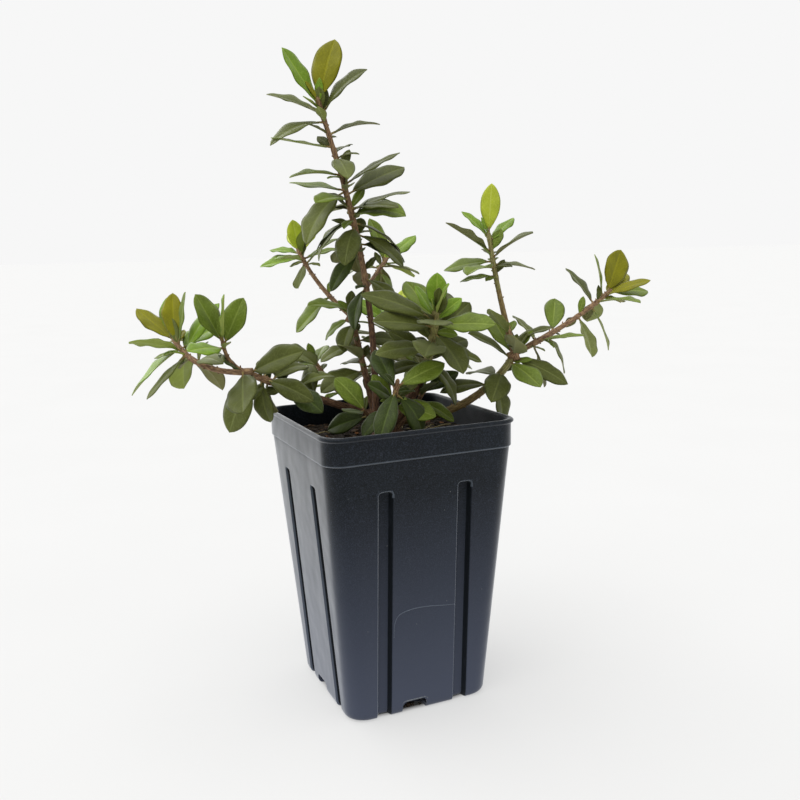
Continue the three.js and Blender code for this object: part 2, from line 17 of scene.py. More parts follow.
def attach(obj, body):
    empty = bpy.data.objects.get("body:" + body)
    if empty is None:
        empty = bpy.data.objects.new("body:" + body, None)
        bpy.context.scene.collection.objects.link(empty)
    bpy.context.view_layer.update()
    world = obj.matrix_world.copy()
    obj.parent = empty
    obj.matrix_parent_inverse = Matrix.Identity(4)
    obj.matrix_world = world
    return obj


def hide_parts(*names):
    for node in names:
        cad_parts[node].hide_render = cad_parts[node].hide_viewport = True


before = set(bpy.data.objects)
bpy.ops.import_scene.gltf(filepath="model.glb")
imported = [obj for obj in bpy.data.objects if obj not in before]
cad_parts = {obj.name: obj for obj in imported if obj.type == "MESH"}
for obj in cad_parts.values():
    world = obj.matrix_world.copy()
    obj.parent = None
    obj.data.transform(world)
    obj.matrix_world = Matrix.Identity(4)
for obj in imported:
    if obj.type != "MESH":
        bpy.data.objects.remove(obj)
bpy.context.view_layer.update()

MM = 0.001

# %% [markdown]
# ## Camera
# The photograph shows the pot's front and left walls from a little above. The eleven corners of
# the pot that it shows give one pinhole camera: its place, its turn and its focal length. A camera
# could be set by eye, but a fitted one lets every leaf be compared at its own spot.

# %% Camera
IMAGE_PIXELS = 800
FOCAL_PIXELS = 879.32
SENSOR_MM = 36.0
CAMERA_PLACE = Vector((-185.56, -443.12, 244.82)) * MM
YAW, PITCH, ROLL = (math.radians(angle) for angle in (23.70, 9.58, -1.39))


def camera_turn():
    """The camera's axes as columns: to the right, up, and back towards the viewer."""
    level = Vector((math.cos(YAW), -math.sin(YAW), 0))
    ahead = Vector((math.sin(YAW) * math.cos(PITCH), math.cos(YAW) * math.cos(PITCH), -math.sin(PITCH)))
    rise = level.cross(ahead)
    right = level * math.cos(ROLL) + rise * math.sin(ROLL)
    up = rise * math.cos(ROLL) - level * math.sin(ROLL)
    return Matrix((right, up, -ahead)).transposed()


lens = bpy.data.cameras.new("camera")
lens.sensor_width = SENSOR_MM
lens.lens = FOCAL_PIXELS / IMAGE_PIXELS * SENSOR_MM
lens.clip_start = 0.01
lens.clip_end = 200
camera = bpy.data.objects.new("camera", lens)
camera.matrix_world = Matrix.Translation(CAMERA_PLACE) @ camera_turn().to_4x4()
bpy.context.scene.collection.objects.link(camera)
bpy.context.scene.camera = camera
print("lens in mm:", round(lens.lens, 2))

# %% [markdown]
# ## Helpers for colour, nodes and meshes
# Paint charts and colour pickers give sRGB values, and Blender's shaders want linear ones, so one
# function turns a hex value into linear light. One feeds a node's sockets with values, colours or
# links, one adds a shader node with its settings and feeds it, and one makes a mesh from points in
# millimetres. Blender's ready-made operators could do some of this, but plain data calls give the
# same result on every run.

# %% Helpers
def linear(hex_value):
    """A colour such as "#4c6528" as linear red, green, blue and alpha."""
    channels = [int(hex_value[start:start + 2], 16) / 255 for start in (1, 3, 5)]
    return [c / 12.92 if c <= 0.04045 else ((c + 0.055) / 1.055) ** 2.4 for c in channels] + [1.0]


def feed(node, sockets):
    """Gives sockets, by name or number, a value, a hex colour or the output that feeds them."""
    for name, value in sockets.items():
        if isinstance(value, bpy.types.NodeSocket):
            node.id_data.links.new(value, node.inputs[name])
        else:
            node.inputs[name].default_value = linear(value) if isinstance(value, str) else value


def add_node(tree, kind, sockets, output=0, **settings):
    """Adds a shader node with its settings and feeds, and gives back one of its outputs."""
    node = tree.nodes.new("ShaderNode" + kind)
    for name, value in settings.items():
        setattr(node, name, value)
    feed(node, sockets)
    return node.outputs[output]


def start_finish(name):
    """A new material with one Principled shader, and its node tree."""
    finish = bpy.data.materials.new(name)
    finish.use_nodes = True
    tree = finish.node_tree
    tree.nodes.clear()
    shader = tree.nodes.new("ShaderNodeBsdfPrincipled")
    feed(tree.nodes.new("ShaderNodeOutputMaterial"), {"Surface": shader.outputs[0]})
    return finish, tree, shader


def per_metre(size_mm):
    """The texture scale that gives a pattern of this size in millimetres."""
    return 1 / (size_mm * MM)


def make_piece(name, points, faces, finishes, pick=None, blade=None, smooth=True):
    """A mesh object from points in mm. pick gives each face's finish, blade each corner's UV."""
    mesh = bpy.data.meshes.new(name)
    mesh.from_pydata((np.asarray(points, float) * MM).tolist(), [], faces)
    for finish in finishes:
        mesh.materials.append(finish)
    if pick is not None:
        mesh.polygons.foreach_set("material_index", np.asarray(pick, np.int32))
    if blade is not None:
        layer = mesh.uv_layers.new(name="blade")
        corners = np.empty(len(mesh.loops), np.int32)
        mesh.loops.foreach_get("vertex_index", corners)
        layer.data.foreach_set("uv", np.asarray(blade, np.float32)[corners].ravel())
    mesh.polygons.foreach_set("use_smooth", np.full(len(mesh.polygons), smooth))
    mesh.update()
    piece = bpy.data.objects.new(name, mesh)
    bpy.context.scene.collection.objects.link(piece)
    return piece


def settle(piece, slot, *nodes):
    """The piece rides on the one body and stands for its CAD nodes. Its slot is not used."""
    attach(piece, "root")
    if nodes:
        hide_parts(*nodes)
    return piece


def triangles(*pieces):
    """How many triangles some pieces have together."""
    return sum(len(face.vertices) - 2 for piece in pieces for face in piece.data.polygons)


print("helpers ready")

# %% [markdown]
# ## Floor and light
# The plant stands on a white table in an even, high-key studio. A pale world gives the even part.
# Two very wide suns, like large softboxes far away, add the rest: one from above shades the leaves,
# and one from behind on the left brings out the pot's left wall. Nearby area lights would fade over
# the table and leave a line where it meets the background. A part of the floor's white is its own
# glow, which keeps the shadow as faint as in the photograph. Right under the pot it doesn't glow.

# %% Floor and light
SQUARENESS = 5
GLOW_FROM, GLOW_FULL, GLOW = 36 * MM, 40 * MM, 0.49
FLOOR_REACH = 60000


def softbox(name, energy, spread, towards):
    """A sun whose disc is spread degrees wide and whose light travels along towards."""
    light = bpy.data.lights.new(name, "SUN")
    light.energy = energy
    light.angle = math.radians(spread)
    lamp = bpy.data.objects.new(name, light)
    lamp.rotation_euler = Vector(towards).to_track_quat("-Z", "Y").to_euler()
    bpy.context.scene.collection.objects.link(lamp)


world = bpy.data.worlds.new("studio")
world.use_nodes = True
feed(world.node_tree.nodes["Background"], {"Color": "#f7f7f7", "Strength": 1.0})
bpy.context.scene.world = world
bpy.context.scene.view_settings.view_transform = "Standard"
softbox("top_softbox", 1.7, 60, (0.3, 0.05, -1))
softbox("back_softbox", 2.3, 80, (0.4, -0.9, -0.1))

finish, tree, shader = start_finish("white_table_laminate")
place = add_node(tree, "TexCoord", {}, "Object")
grain = add_node(tree, "TexNoise", {"Vector": place, "Scale": per_metre(160), "Detail": 2})
tint = add_node(tree, "Mix", {0: grain, 6: "#8f8f8e", 7: "#939392"}, 2, data_type="RGBA")
aside = add_node(tree, "VectorMath", {0: place}, operation="ABSOLUTE")
parts = add_node(tree, "SeparateXYZ", {0: aside}).node.outputs
powers = [add_node(tree, "Math", {0: part, 1: SQUARENESS}, operation="POWER") for part in parts[:2]]
summed = add_node(tree, "Math", {0: powers[0], 1: powers[1]}, operation="ADD")
reach = add_node(tree, "Math", {0: summed, 1: 1 / SQUARENESS}, operation="POWER")
glow = add_node(tree, "MapRange", {0: reach, 1: GLOW_FROM, 2: GLOW_FULL, 3: 0, 4: GLOW})
feed(shader, {"Base Color": tint, "Roughness": 0.9, "Specular IOR Level": 0.0,
              "Emission Color": "#ffffff", "Emission Strength": glow})
corners = [(x * FLOOR_REACH, y * FLOOR_REACH, 0) for x, y in ((-1, -1), (1, -1), (1, 1), (-1, 1))]
floor = make_piece("floor", corners, [(0, 1, 2, 3)], [finish])
print("floor and lights set")

# %% [markdown]
# ## The pot's finish
# The pot is injection-moulded polypropylene, tinted a dark blue-grey with carbon black. Moulding
# gives it a satin skin, a fine grain and slow waves in the walls. Nursery work leaves a little dust
# and a few scuffs. The walls are painted paler towards the foot, painted light from the bright floor,
# the ledge and the flutes' left rims carry a painted highlight, and the flutes' steep sides painted
# shade.
# A flat colour would look like card, so the tint, the gloss and the bump all vary at sizes taken
# from the real thing. The moulded grain is finer than 0.2 mm, and is drawn at 0.5 mm so that it
# shows.

# %% Moulded polypropylene
def moulded_polypropylene(name, deep, wear_and_painted_light, foot, roughness, haze):
    """Tinted, injection-moulded polypropylene with dust, grain and slow waves. Its colour is paler
    towards the foot, painted light from the bright floor.

    Haze is how strongly handling has bloomed the skin, which shows as sheen at a glancing view. The
    sheen is set stronger towards the top, a painted stand-in for the brighter light there."""
    finish, tree, shader = start_finish(name)
    place = add_node(tree, "TexCoord", {}, "Object")
    tall = add_node(tree, "Mapping", {0: place, "Scale": (1, 1, 0.3)})
    cloud, scuff, grain, wave = (
        add_node(tree, "TexNoise", {"Vector": vector, "Scale": per_metre(size), "Detail": detail})
        for vector, size, detail in ((tall, 18, 4), (tall, 2.5, 5), (place, 0.5, 2), (place, 14, 1)))
    height = add_node(tree, "SeparateXYZ", {0: place}, 2)
    fade = add_node(tree, "MapRange", {0: cloud, 1: 0.35, 2: 0.7, 3: 0, 4: 0.8})
    # Paler towards the foot: painted light from the bright floor.
    painted_foot_light = add_node(tree, "MapRange", {0: height, 1: 125 * MM, 2: 5 * MM, 3: 0, 4: 1})
    rub = add_node(tree, "MapRange", {0: scuff, 1: 0.6, 2: 0.85, 3: 0, 4: 0.25})
    cells = add_node(tree, "TexVoronoi", {"Vector": place, "Scale": per_metre(5)}).node.outputs
    speck = add_node(tree, "MapRange", {0: cells["Distance"], 1: 0.05, 2: 0.03, 3: 0, 4: 1})
    pick = add_node(tree, "Math", {0: cells["Color"], 1: 0.66}, operation="GREATER_THAN")
    dust = add_node(tree, "Math", {0: speck, 1: pick}, operation="MULTIPLY")
    fleck = add_node(tree, "MapRange", {0: grain, 1: 0.45, 2: 0.75, 3: 0, 4: 0.35})
    tint = deep
    for share, over in ((fade, wear_and_painted_light), (painted_foot_light, foot), (rub, "#3d434c"), (dust, "#777a78"), (fleck, foot)):
        tint = add_node(tree, "Mix", {0: share, 6: tint, 7: over}, 2, data_type="RGBA")
    gloss = add_node(tree, "MapRange", {0: cloud, 1: 0.3, 2: 0.7, 3: roughness - 0.05, 4: roughness + 0.07})
    # The sheen is set stronger towards the top, a painted stand-in for the brighter light there.
    veil = add_node(tree, "MapRange", {0: painted_foot_light, 1: 0, 2: 1, 3: 1.4 * haze, 4: 0.95 * haze})
    slow = add_node(tree, "Bump", {"Strength": 0.35, "Distance": 1.2 * MM, "Height": wave})
    fine = add_node(tree, "Bump", {"Strength": 0.25, "Distance": 0.04 * MM, "Height": grain, "Normal": slow})
    feed(shader, {"Base Color": tint, "Roughness": gloss, "IOR": 1.49, "Specular IOR Level": 0.13,
                  "Sheen Weight": veil, "Sheen Roughness": 0.35, "Sheen Tint": "#e3e6ea", "Normal": fine})
    return finish


POT_PLASTIC = moulded_polypropylene("moulded_polypropylene", "#050a0e", "#0b1318", "#424858", 0.42, 0.7)
# The pale edge finish is a painted highlight for the ledge, the flutes' left rims and the flow line.
POT_PAINTED_HIGHLIGHT = moulded_polypropylene("polypropylene_painted_highlight", "#3c434a", "#4c535b", "#565d6b", 0.45, 0.7)
# This dark finish is painted shade on the flutes' steep sides.
POT_SHADED = moulded_polypropylene("polypropylene_painted_shade", "#080c0f", "#0c1115", "#171c22", 0.5, 0.1)
POT_FLASH = moulded_polypropylene("polypropylene_flash", "#4c5158", "#6d7276", "#6d7276", 0.5, 0.3)
print("pot finishes:", [finish.name for finish in (POT_PLASTIC, POT_PAINTED_HIGHLIGHT, POT_SHADED, POT_FLASH)])

# %% [markdown]
# ## The pot
# A square nursery pot is one thin moulded wall: a tapering body with two upright flutes in each
# face, a ledge, a straight band and a rounded lip. It could be cut from blocks with Booleans, but
# a loft of rings gives soft moulded edges. Each ring walks once around the wall and is pressed in
# where a flute runs. The inside is the same loft, one wall thickness further in.

# %% Forms of the pot
POT_HEIGHT, RIM_HALF, BAND_HALF = 157.0, 54.0, 53.2
BODY_TOP_HALF, FOOT_HALF, LEDGE = 52.5, 41.2, 142.0
CORNER_RADIUS, CORNER_STEPS, WALL, FLOOR_PLATE = 10.5, 8, 1.5, 2.0
FLUTE_OFFSET, FLUTE_HALF, FLUTE_DEPTH, FLUTE_TOP = 22.3, 4.3, 3.6, 127.0
FLUTE_EDGE = 1.45
FLUTE_COLUMNS = (-5.6, -4.9, -4.5, -4.25, -4.0, -3.75, -3.5, -3.2, -2.8, -1.4)
PANEL_HALF, SIDE_FROM = 15, 28.4


def smooth_step(value):
    """0 below 0, 1 above 1, and an S-shaped rise between."""
    value = np.clip(value, 0, 1)
    return value * value * (3 - 2 * value)


def quarter_turns(points, turns):
    """Points turned about the pot's axis by quarter turns."""
    for _ in range(turns):
        points = np.stack([-points[:, 1], points[:, 0], points[:, 2]], axis=1)
    return points


def flute_press(x, z, grow):
    """How far a flute presses the wall in at this place across and up a face. Its top is squarish."""
    straight = FLUTE_TOP - FLUTE_HALF
    sideways = np.abs(np.abs(x) - FLUTE_OFFSET)
    distance = (sideways ** 4 + np.maximum(z - straight, 0) ** 4) ** 0.25
    return FLUTE_DEPTH * smooth_step((FLUTE_HALF + grow - distance) / FLUTE_EDGE)


def face_columns(straight):
    """Places across one face, close together where the flutes' edges are."""
    flute = sorted([side * offset for side in (-1, 1) for offset in FLUTE_COLUMNS] + [0.0])
    inner = [centre + offset for centre in (-FLUTE_OFFSET, FLUTE_OFFSET) for offset in flute]
    panel = np.linspace(-PANEL_HALF, PANEL_HALF, 11)
    edge = np.linspace(SIDE_FROM, straight, 4)
    return np.array(sorted([*inner, *panel, *edge, *(-edge)]))


def pot_ring(half, z, grow=0.0):
    """One ring around the pot, pressed in at the flutes, with rounded corners."""
    straight = half - CORNER_RADIUS
    x = face_columns(straight)
    face = np.stack([x, -half + flute_press(x, z, grow), np.full_like(x, z)], axis=1)
    angles = np.linspace(-math.pi / 2, 0, CORNER_STEPS + 1)[1:-1]
    corner = np.stack([straight + CORNER_RADIUS * np.cos(angles),
                       -straight + CORNER_RADIUS * np.sin(angles), np.full_like(angles, z)], axis=1)
    quarter = np.concatenate([face, corner])
    return np.concatenate([quarter_turns(quarter, turns) for turns in range(4)])


def body_half(z):
    """The tapering body's half width at a height."""
    return FOOT_HALF + (BODY_TOP_HALF - FOOT_HALF) * z / LEDGE


def loft(rings):
    """Points and faces over equal rings: quads between them and a cap on each end."""
    sides, points, faces = len(rings[0]), np.concatenate(rings), []
    here = np.arange(sides)
    beside = (here + 1) % sides
    for low in range(0, len(points) - sides, sides):
        high = low + sides
        faces += np.stack([low + here, low + beside, high + beside, high + here], axis=1).tolist()
    faces.append(list(range(sides))[::-1])
    faces.append(list(range(len(points) - sides, len(points))))
    return points, faces


def gathered(parts):
    """Several (points, faces) joined into one."""
    points, faces, base = [], [], 0
    for part_points, part_faces in parts:
        points.append(part_points)
        faces += [[base + corner for corner in face] for face in part_faces]
        base += len(part_points)
    return np.concatenate(points), faces


print("points in one ring of the pot:", len(pot_ring(FOOT_HALF, 0)))

# %% [markdown]
# ### Walls, ledge and lip
# The rows of the loft stand close together where the wall turns: round the foot, at the tops of the
# flutes, at the ledge and over the lip. The ledge and the flutes' left rims take a pale finish, a
# painted highlight, and the flutes' steep sides a dark one, painted shade, so each face is dealt one
# of three finishes by its place. A painted mask could do this as well, but a face's own place needs
# no image.

# %% Pot walls
NO_FLUTE = -9
UNDERSIDE_INSET = 5
RIM_GROW = 0.35
LEDGE_HIGHLIGHT, HIGHLIGHT_SPAN, SHADE_SPAN = (0.1, 0.9), (0.02, 0.6), (0.1, 0.985)


def quad_middle(rings, row, column):
    """Where the middle of a quad lies across its face of the pot, and its height."""
    quarter = len(rings[0]) // 4
    here, beside = column % quarter, min(column % quarter + 1, quarter - 1)
    corners = [ring[place] for ring in rings[row:row + 2] for place in (here, beside)]
    return np.mean(corners, axis=0)[[0, 2]]


def painted_light_of(x, z):
    """0 on plain wall, 1 on the ledge and rims with a painted highlight, 2 on a flute's steep sides with
    painted shade.
    """
    if z >= LEDGE:
        return int(LEDGE_HIGHLIGHT[0] < z - LEDGE < LEDGE_HIGHLIGHT[1])
    left_rim = x < math.copysign(FLUTE_OFFSET, x) or z > FLUTE_TOP - FLUTE_HALF
    rim, side = (float(flute_press(x, z, grow)) / FLUTE_DEPTH for grow in (RIM_GROW, 0.0))
    if left_rim and HIGHLIGHT_SPAN[0] < rim < HIGHLIGHT_SPAN[1]:
        return 1
    return 2 if SHADE_SPAN[0] < side < SHADE_SPAN[1] else 0


FOOT_ROUND = [(0.0, 3.0), (0.12, 2.1), (0.4, 1.4), (0.9, 0.8), (1.6, 0.35), (3.0, 0.0)]
BODY_ROWS = [5, 9, 14, 20, 28, 36, 44, 52, 60, 68, 76, 84, 92, 100, 108, 115, 120, 122, 123, 123.8,
             124.6, 125.3, 125.9, 126.4, 126.8, 127.2, 127.8, 129, 133, 138, 140.8, 141.6]
BAND_ROWS = [(142.0, -0.66), (142.2, -0.3), (142.45, -0.05), (142.9, 0), (146, 0), (149, 0), (152, 0),
             (154.2, 0), (154.5, 0.12), (154.75, 0.5), (155.15, 0.88), (155.7, 1.05), (156.2, 0.98),
             (156.65, 0.66), (156.93, 0.2), (157.0, -0.3), (156.85, -0.85), (156.4, -1.25),
             (155.8, -1.45), (155.0, -1.5)]
INNER_ROWS = [150, 145, 143, 142.2]
INNER_BODY = [141.4, 139, 133, 128.8, 127.6, 126.6, 125, 123, 115, 90, 60, 30, 8, FLOOR_PLATE]

rings = [pot_ring(FOOT_HALF - UNDERSIDE_INSET, 0.0, NO_FLUTE)]
rings += [pot_ring(body_half(z) - inset, z) for z, inset in FOOT_ROUND]
rings += [pot_ring(body_half(z), z) for z in BODY_ROWS]
rings += [pot_ring(BAND_HALF + proud, z) for z, proud in BAND_ROWS]
outer_rows = len(rings)
rings += [pot_ring(BAND_HALF - WALL, z) for z in INNER_ROWS]
rings += [pot_ring(body_half(z) - WALL, z, WALL) for z in INNER_BODY]
# Each outer face gets plain wall, the painted highlight or the painted shade.
wear_and_painted_light = [painted_light_of(*quad_middle(rings, row, column)) if row < outer_rows else 0
        for row in range(len(rings) - 1) for column in range(len(rings[0]))] + [0, 0]
pot_walls = make_piece("pot_walls", *loft(rings), [POT_PLASTIC, POT_PAINTED_HIGHLIGHT, POT_SHADED], wear_and_painted_light)
print("pot wall triangles:", triangles(pot_walls))

# %% [markdown]
# ## Drainage notches
# Each wall has an arched notch at its foot that lets water out through the floor's edge. The notch
# has a crisp moulded edge, so here a Boolean is the right tool: four arches are cut out at once
# and the result becomes the pot's own mesh.

# %% Drainage notches
NOTCH_CENTRE, NOTCH_HALF, NOTCH_HEIGHT, NOTCH_ROUND, NOTCH_REACH = -4.7, 7.25, 6.5, 3.0, 9.0
ARCH_STEPS = 8
OVERRUN = 6.0
SHARP_EDGE = math.radians(42)


def arch_outline():
    """The notch's arch as seen from in front: x and z, going round once."""
    outline = [(-NOTCH_HALF, -OVERRUN), (NOTCH_HALF, -OVERRUN)]
    for start, centre in ((0, NOTCH_HALF - NOTCH_ROUND), (1, NOTCH_ROUND - NOTCH_HALF)):
        for step in range(ARCH_STEPS + 1):
            angle = math.pi / 2 * (start + step / ARCH_STEPS)
            outline.append((centre + NOTCH_ROUND * math.cos(angle),
                            NOTCH_HEIGHT - NOTCH_ROUND + NOTCH_ROUND * math.sin(angle)))
    return outline


sections = [np.array([(x + NOTCH_CENTRE, y, z) for x, z in arch_outline()])
            for y in (-FOOT_HALF + NOTCH_REACH, -FOOT_HALF - OVERRUN)]
arches = [loft([quarter_turns(section, wall) for section in sections]) for wall in range(4)]
cutter = make_piece("notch_cutter", *gathered(arches), [POT_PLASTIC])
cut = pot_walls.modifiers.new("notches", "BOOLEAN")
cut.operation = "DIFFERENCE"
cut.solver = "EXACT"
cut.object = cutter
depsgraph = bpy.context.evaluated_depsgraph_get()
carved = bpy.data.meshes.new_from_object(pot_walls.evaluated_get(depsgraph))
pot_walls.modifiers.clear()
pot_walls.data = carved
bpy.data.objects.remove(cutter)
carved.set_sharp_from_angle(angle=SHARP_EDGE)
settle(pot_walls, "pot_plastic", "pot")
print("pot triangles after the notches:", triangles(pot_walls))

# %% [markdown]
# ## Mould lines
# A cheap moulding shows where the plastic met in the mould: a thin raised line wanders over the
# lower front, a rough pale flash follows the arch over the notch, and light catches the ledge.
# These could be a bump in the material, but a slim raised bead catches light from any side.

# %% Mould lines
FLOW_LINE = [(-17.4, 46), (-17.1, 53.3), (-14.3, 58.5), (-6, 60.4), (3, 60.1), (11, 59), (17.9, 58.3)]
FLOW_SPACING, FLASH_SPACING = 1.5, 0.8
BEAD_SIDES = 6
BEAD_HINT = (0, 0.9, 0.4)
CURVE_STEPS = 12


def smooth_path(points, spacing):
    """Evenly spaced points on a smooth curve through the given ones."""
    points = np.asarray(points, float)
    ends = np.concatenate([[2 * points[0] - points[1]], points, [2 * points[-1] - points[-2]]])
    curve = []
    for step in range(len(points) - 1):
        a, b, c, d = ends[step:step + 4]
        for share in np.linspace(0, 1, CURVE_STEPS, endpoint=False):
            curve.append(0.5 * (2 * b + (c - a) * share + (2 * a - 5 * b + 4 * c - d) * share ** 2
                                + (3 * b - a - 3 * c + d) * share ** 3))
    curve = np.array(curve + [points[-1]])
    run = np.concatenate([[0], np.cumsum(np.linalg.norm(np.diff(curve, axis=0), axis=1))])
    stops = np.linspace(0, run[-1], max(2, int(run[-1] / spacing) + 1))
    return np.stack([np.interp(stops, run, curve[:, axis]) for axis in range(3)], axis=1)


def tube(path, radii, sides, hint=(0, 1, 0)):
    """Rings round a path, each square to it, as a list."""
    path = np.asarray(path, float)
    along = np.gradient(path, axis=0)
    along /= np.linalg.norm(along, axis=1)[:, None]
    first = np.cross(np.asarray(hint, float), along)
    first /= np.linalg.norm(first, axis=1)[:, None]
    second = np.cross(along, first)
    angles = 2 * np.pi * np.arange(sides) / sides
    wheel = first[:, None] * np.cos(angles)[:, None] + second[:, None] * np.sin(angles)[:, None]
    radii = np.broadcast_to(np.asarray(radii, float), (len(path),))
    return list(path[:, None] + wheel * radii[:, None, None])


def on_front(x, z, proud):
    """A point on the pot's front wall."""
    return (x, -body_half(z) - proud, z)


flow = smooth_path([on_front(x, z, -0.05) for x, z in FLOW_LINE], FLOW_SPACING)
swell = np.sin(np.linspace(0.15, 2.9, len(flow)))
line = loft(tube(flow, 0.1 + 0.18 * swell, BEAD_SIDES, BEAD_HINT))
arch = [(NOTCH_CENTRE + x * 1.12, z * 1.06 + 0.3) for x, z in arch_outline()[2:]]
wander = random.Random(5)
flash = smooth_path([on_front(x + wander.uniform(-0.2, 0.2), z + wander.uniform(-0.15, 0.15), -0.1)
                     for x, z in arch[3:-3]], FLASH_SPACING)
rough = loft(tube(flash, [wander.uniform(0.12, 0.42) for _ in flash], BEAD_SIDES, BEAD_HINT))
# The flow line takes the pale edge finish, a painted highlight along it.
pick = [0] * len(line[1]) + [1] * len(rough[1])
settle(make_piece("pot_mould_lines", *gathered([line, rough]), [POT_PAINTED_HIGHLIGHT, POT_FLASH], pick), "pot_plastic")
print("mould line length in mm:", round(FLOW_SPACING * (len(flow) - 1)))

# %% [markdown]
# ## The shoots and leaves as a rule
# The shrub is grown here by the same rule and the same numbers as its CAD solids. A shoot leaves on
# a heading and a climb and swings and bends on its way. A whorl deals out its leaves by the golden
# turn, and one seed starts every chance number. The tree could be modelled leaf by leaf, but a rule
# keeps every leaf where its solid is and can carry on to finer leaves.

# %% Numbers of the plant
SOIL_LEVEL = 145.3
SHOOT_STEPS = 24
SEED = 553601
GOLDEN_TURN = 137.5
PETIOLE_SHARE = 0.13
SLENDERNESS = 0.46
JITTER = {"turn": 24, "open": 20, "size": 0.3, "droop": 24, "twist": 36, "width": 0.2}
LIGHT = np.array((-0.25, -0.55, 0.8)) / np.linalg.norm((-0.25, -0.55, 0.8))
TIPWARD = 0.5
SHOOTS = {  # from, length, heading, climb, swing, bend, girth at foot and tip
    "leader": ((-5, 2, 8), 172, 106, 92, 88, -22, (1.9, 1.2)),
    "second": ((-4, 6, 7), 60, 105, 74, 22, 1, (1.7, 1.5)),
    "left_fork": ("second", 55, 121, 31, -13, 21, (1.4, 1.1)),
    "back_fork": ("second", 51, 32, 45, 10, -18, (1.3, 1)),
    "middle": ((5, -3, 7), 70, -41, 53, -69, 13, (2.6, 1.8)),
    "left": ((-5, -1, 10), 83, 175, 20, 25, 5, (2.2, 1.6)),
    "left_outer": ("left", 50, 147, -3, -41, 41, (1.5, 1.2)),
    "left_side": ("left", 21, 185, 27, 53, 44, (1.1, 0.9)),
    "right": ((5, 0, 7), 81, -15, -5, -24, 66, (2.4, 1.9)),
    "upright": ("right", 67, 107, 68, -9, 9, (1.7, 1.2)),
    "outer": ("right", 78, 3, 19, 11, 8, (1.6, 1.2)),
    "front": ((1, -5, 6), 46, -111, 31, 8, 14, (1.6, 1.2)),
    "back": ((3, 6, 7), 85, 64, 24, 0, 30, (1.9, 1.2)),
    "back_left": ((-3, 7, 6), 55, 118, 20, 0, 28, (1.5, 1.1)),
    "back_right": ((6, 4, 6), 70, 38, 26, 0, 22, (1.7, 1.2)),
    "low_right": ((7, -5, 6), 20, -30, 48, 0, 10, (1.2, 1)),
    "low_left": ((-6, -6, 6), 18, 215, 30, 0, 10, (1.2, 1)),
}
LIMBS = [  # name, shoot, from, to
    ("leader_stem", "leader", 0, 0.38), ("second_stem", "second", 0, 0.4),
    ("middle_stem", "middle", 0, 0.52), ("left_branch", "left", 0, 0.44),
    ("right_branch", "right", 0, 0.66), ("front_stem", "front", 0, 0.42),
    ("back_stem", "back", 0, 0.45), ("back_left_stem", "back_left", 0, 0.42),
    ("back_right_stem", "back_right", 0, 0.45), ("upright_stem", "upright", 0.2, 0.54),
]
MASSES = [  # name without "foliage", shoot, from, to
    ("leader_lower", "leader", 0.38, 0.78), ("leader_top", "leader", 0.78, 1),
    ("second", "second", 0.4, 1), ("left_fork", "left_fork", 0, 1),
    ("back_fork", "back_fork", 0, 1), ("middle", "middle", 0.52, 1),
    ("left_inner", "left", 0.44, 1), ("left_outer", "left_outer", 0, 1),
    ("left_side", "left_side", 0, 1), ("right_fork", "right", 0.66, 1),
    ("upright_lower", "upright", 0, 0.2), ("upright", "upright", 0.54, 1),
    ("outer_lower", "outer", 0, 0.42), ("outer", "outer", 0.42, 1),
    ("front", "front", 0.42, 1), ("back", "back", 0.45, 1),
    ("back_left", "back_left", 0.42, 1), ("back_right", "back_right", 0.45, 1),
    ("low_right", "low_right", 0, 1), ("low_left", "low_left", 0, 1),
]
HABITS = {  # how the lowest and highest leaf open, and how they droop, in degrees
    "tip": ((28, 12), (10, 6)),
    "bud": ((46, 16), (14, 6)),
    "rising": ((64, 48), (16, 10)),
    "young": ((75, 40), (40, 10)),
    "arching": ((60, 50), (46, 40)),
    "level": ((88, 66), (24, 8)),
    "grown": ((95, 70), (60, 24)),
    "hanging": ((125, 95), (50, 40)),
}
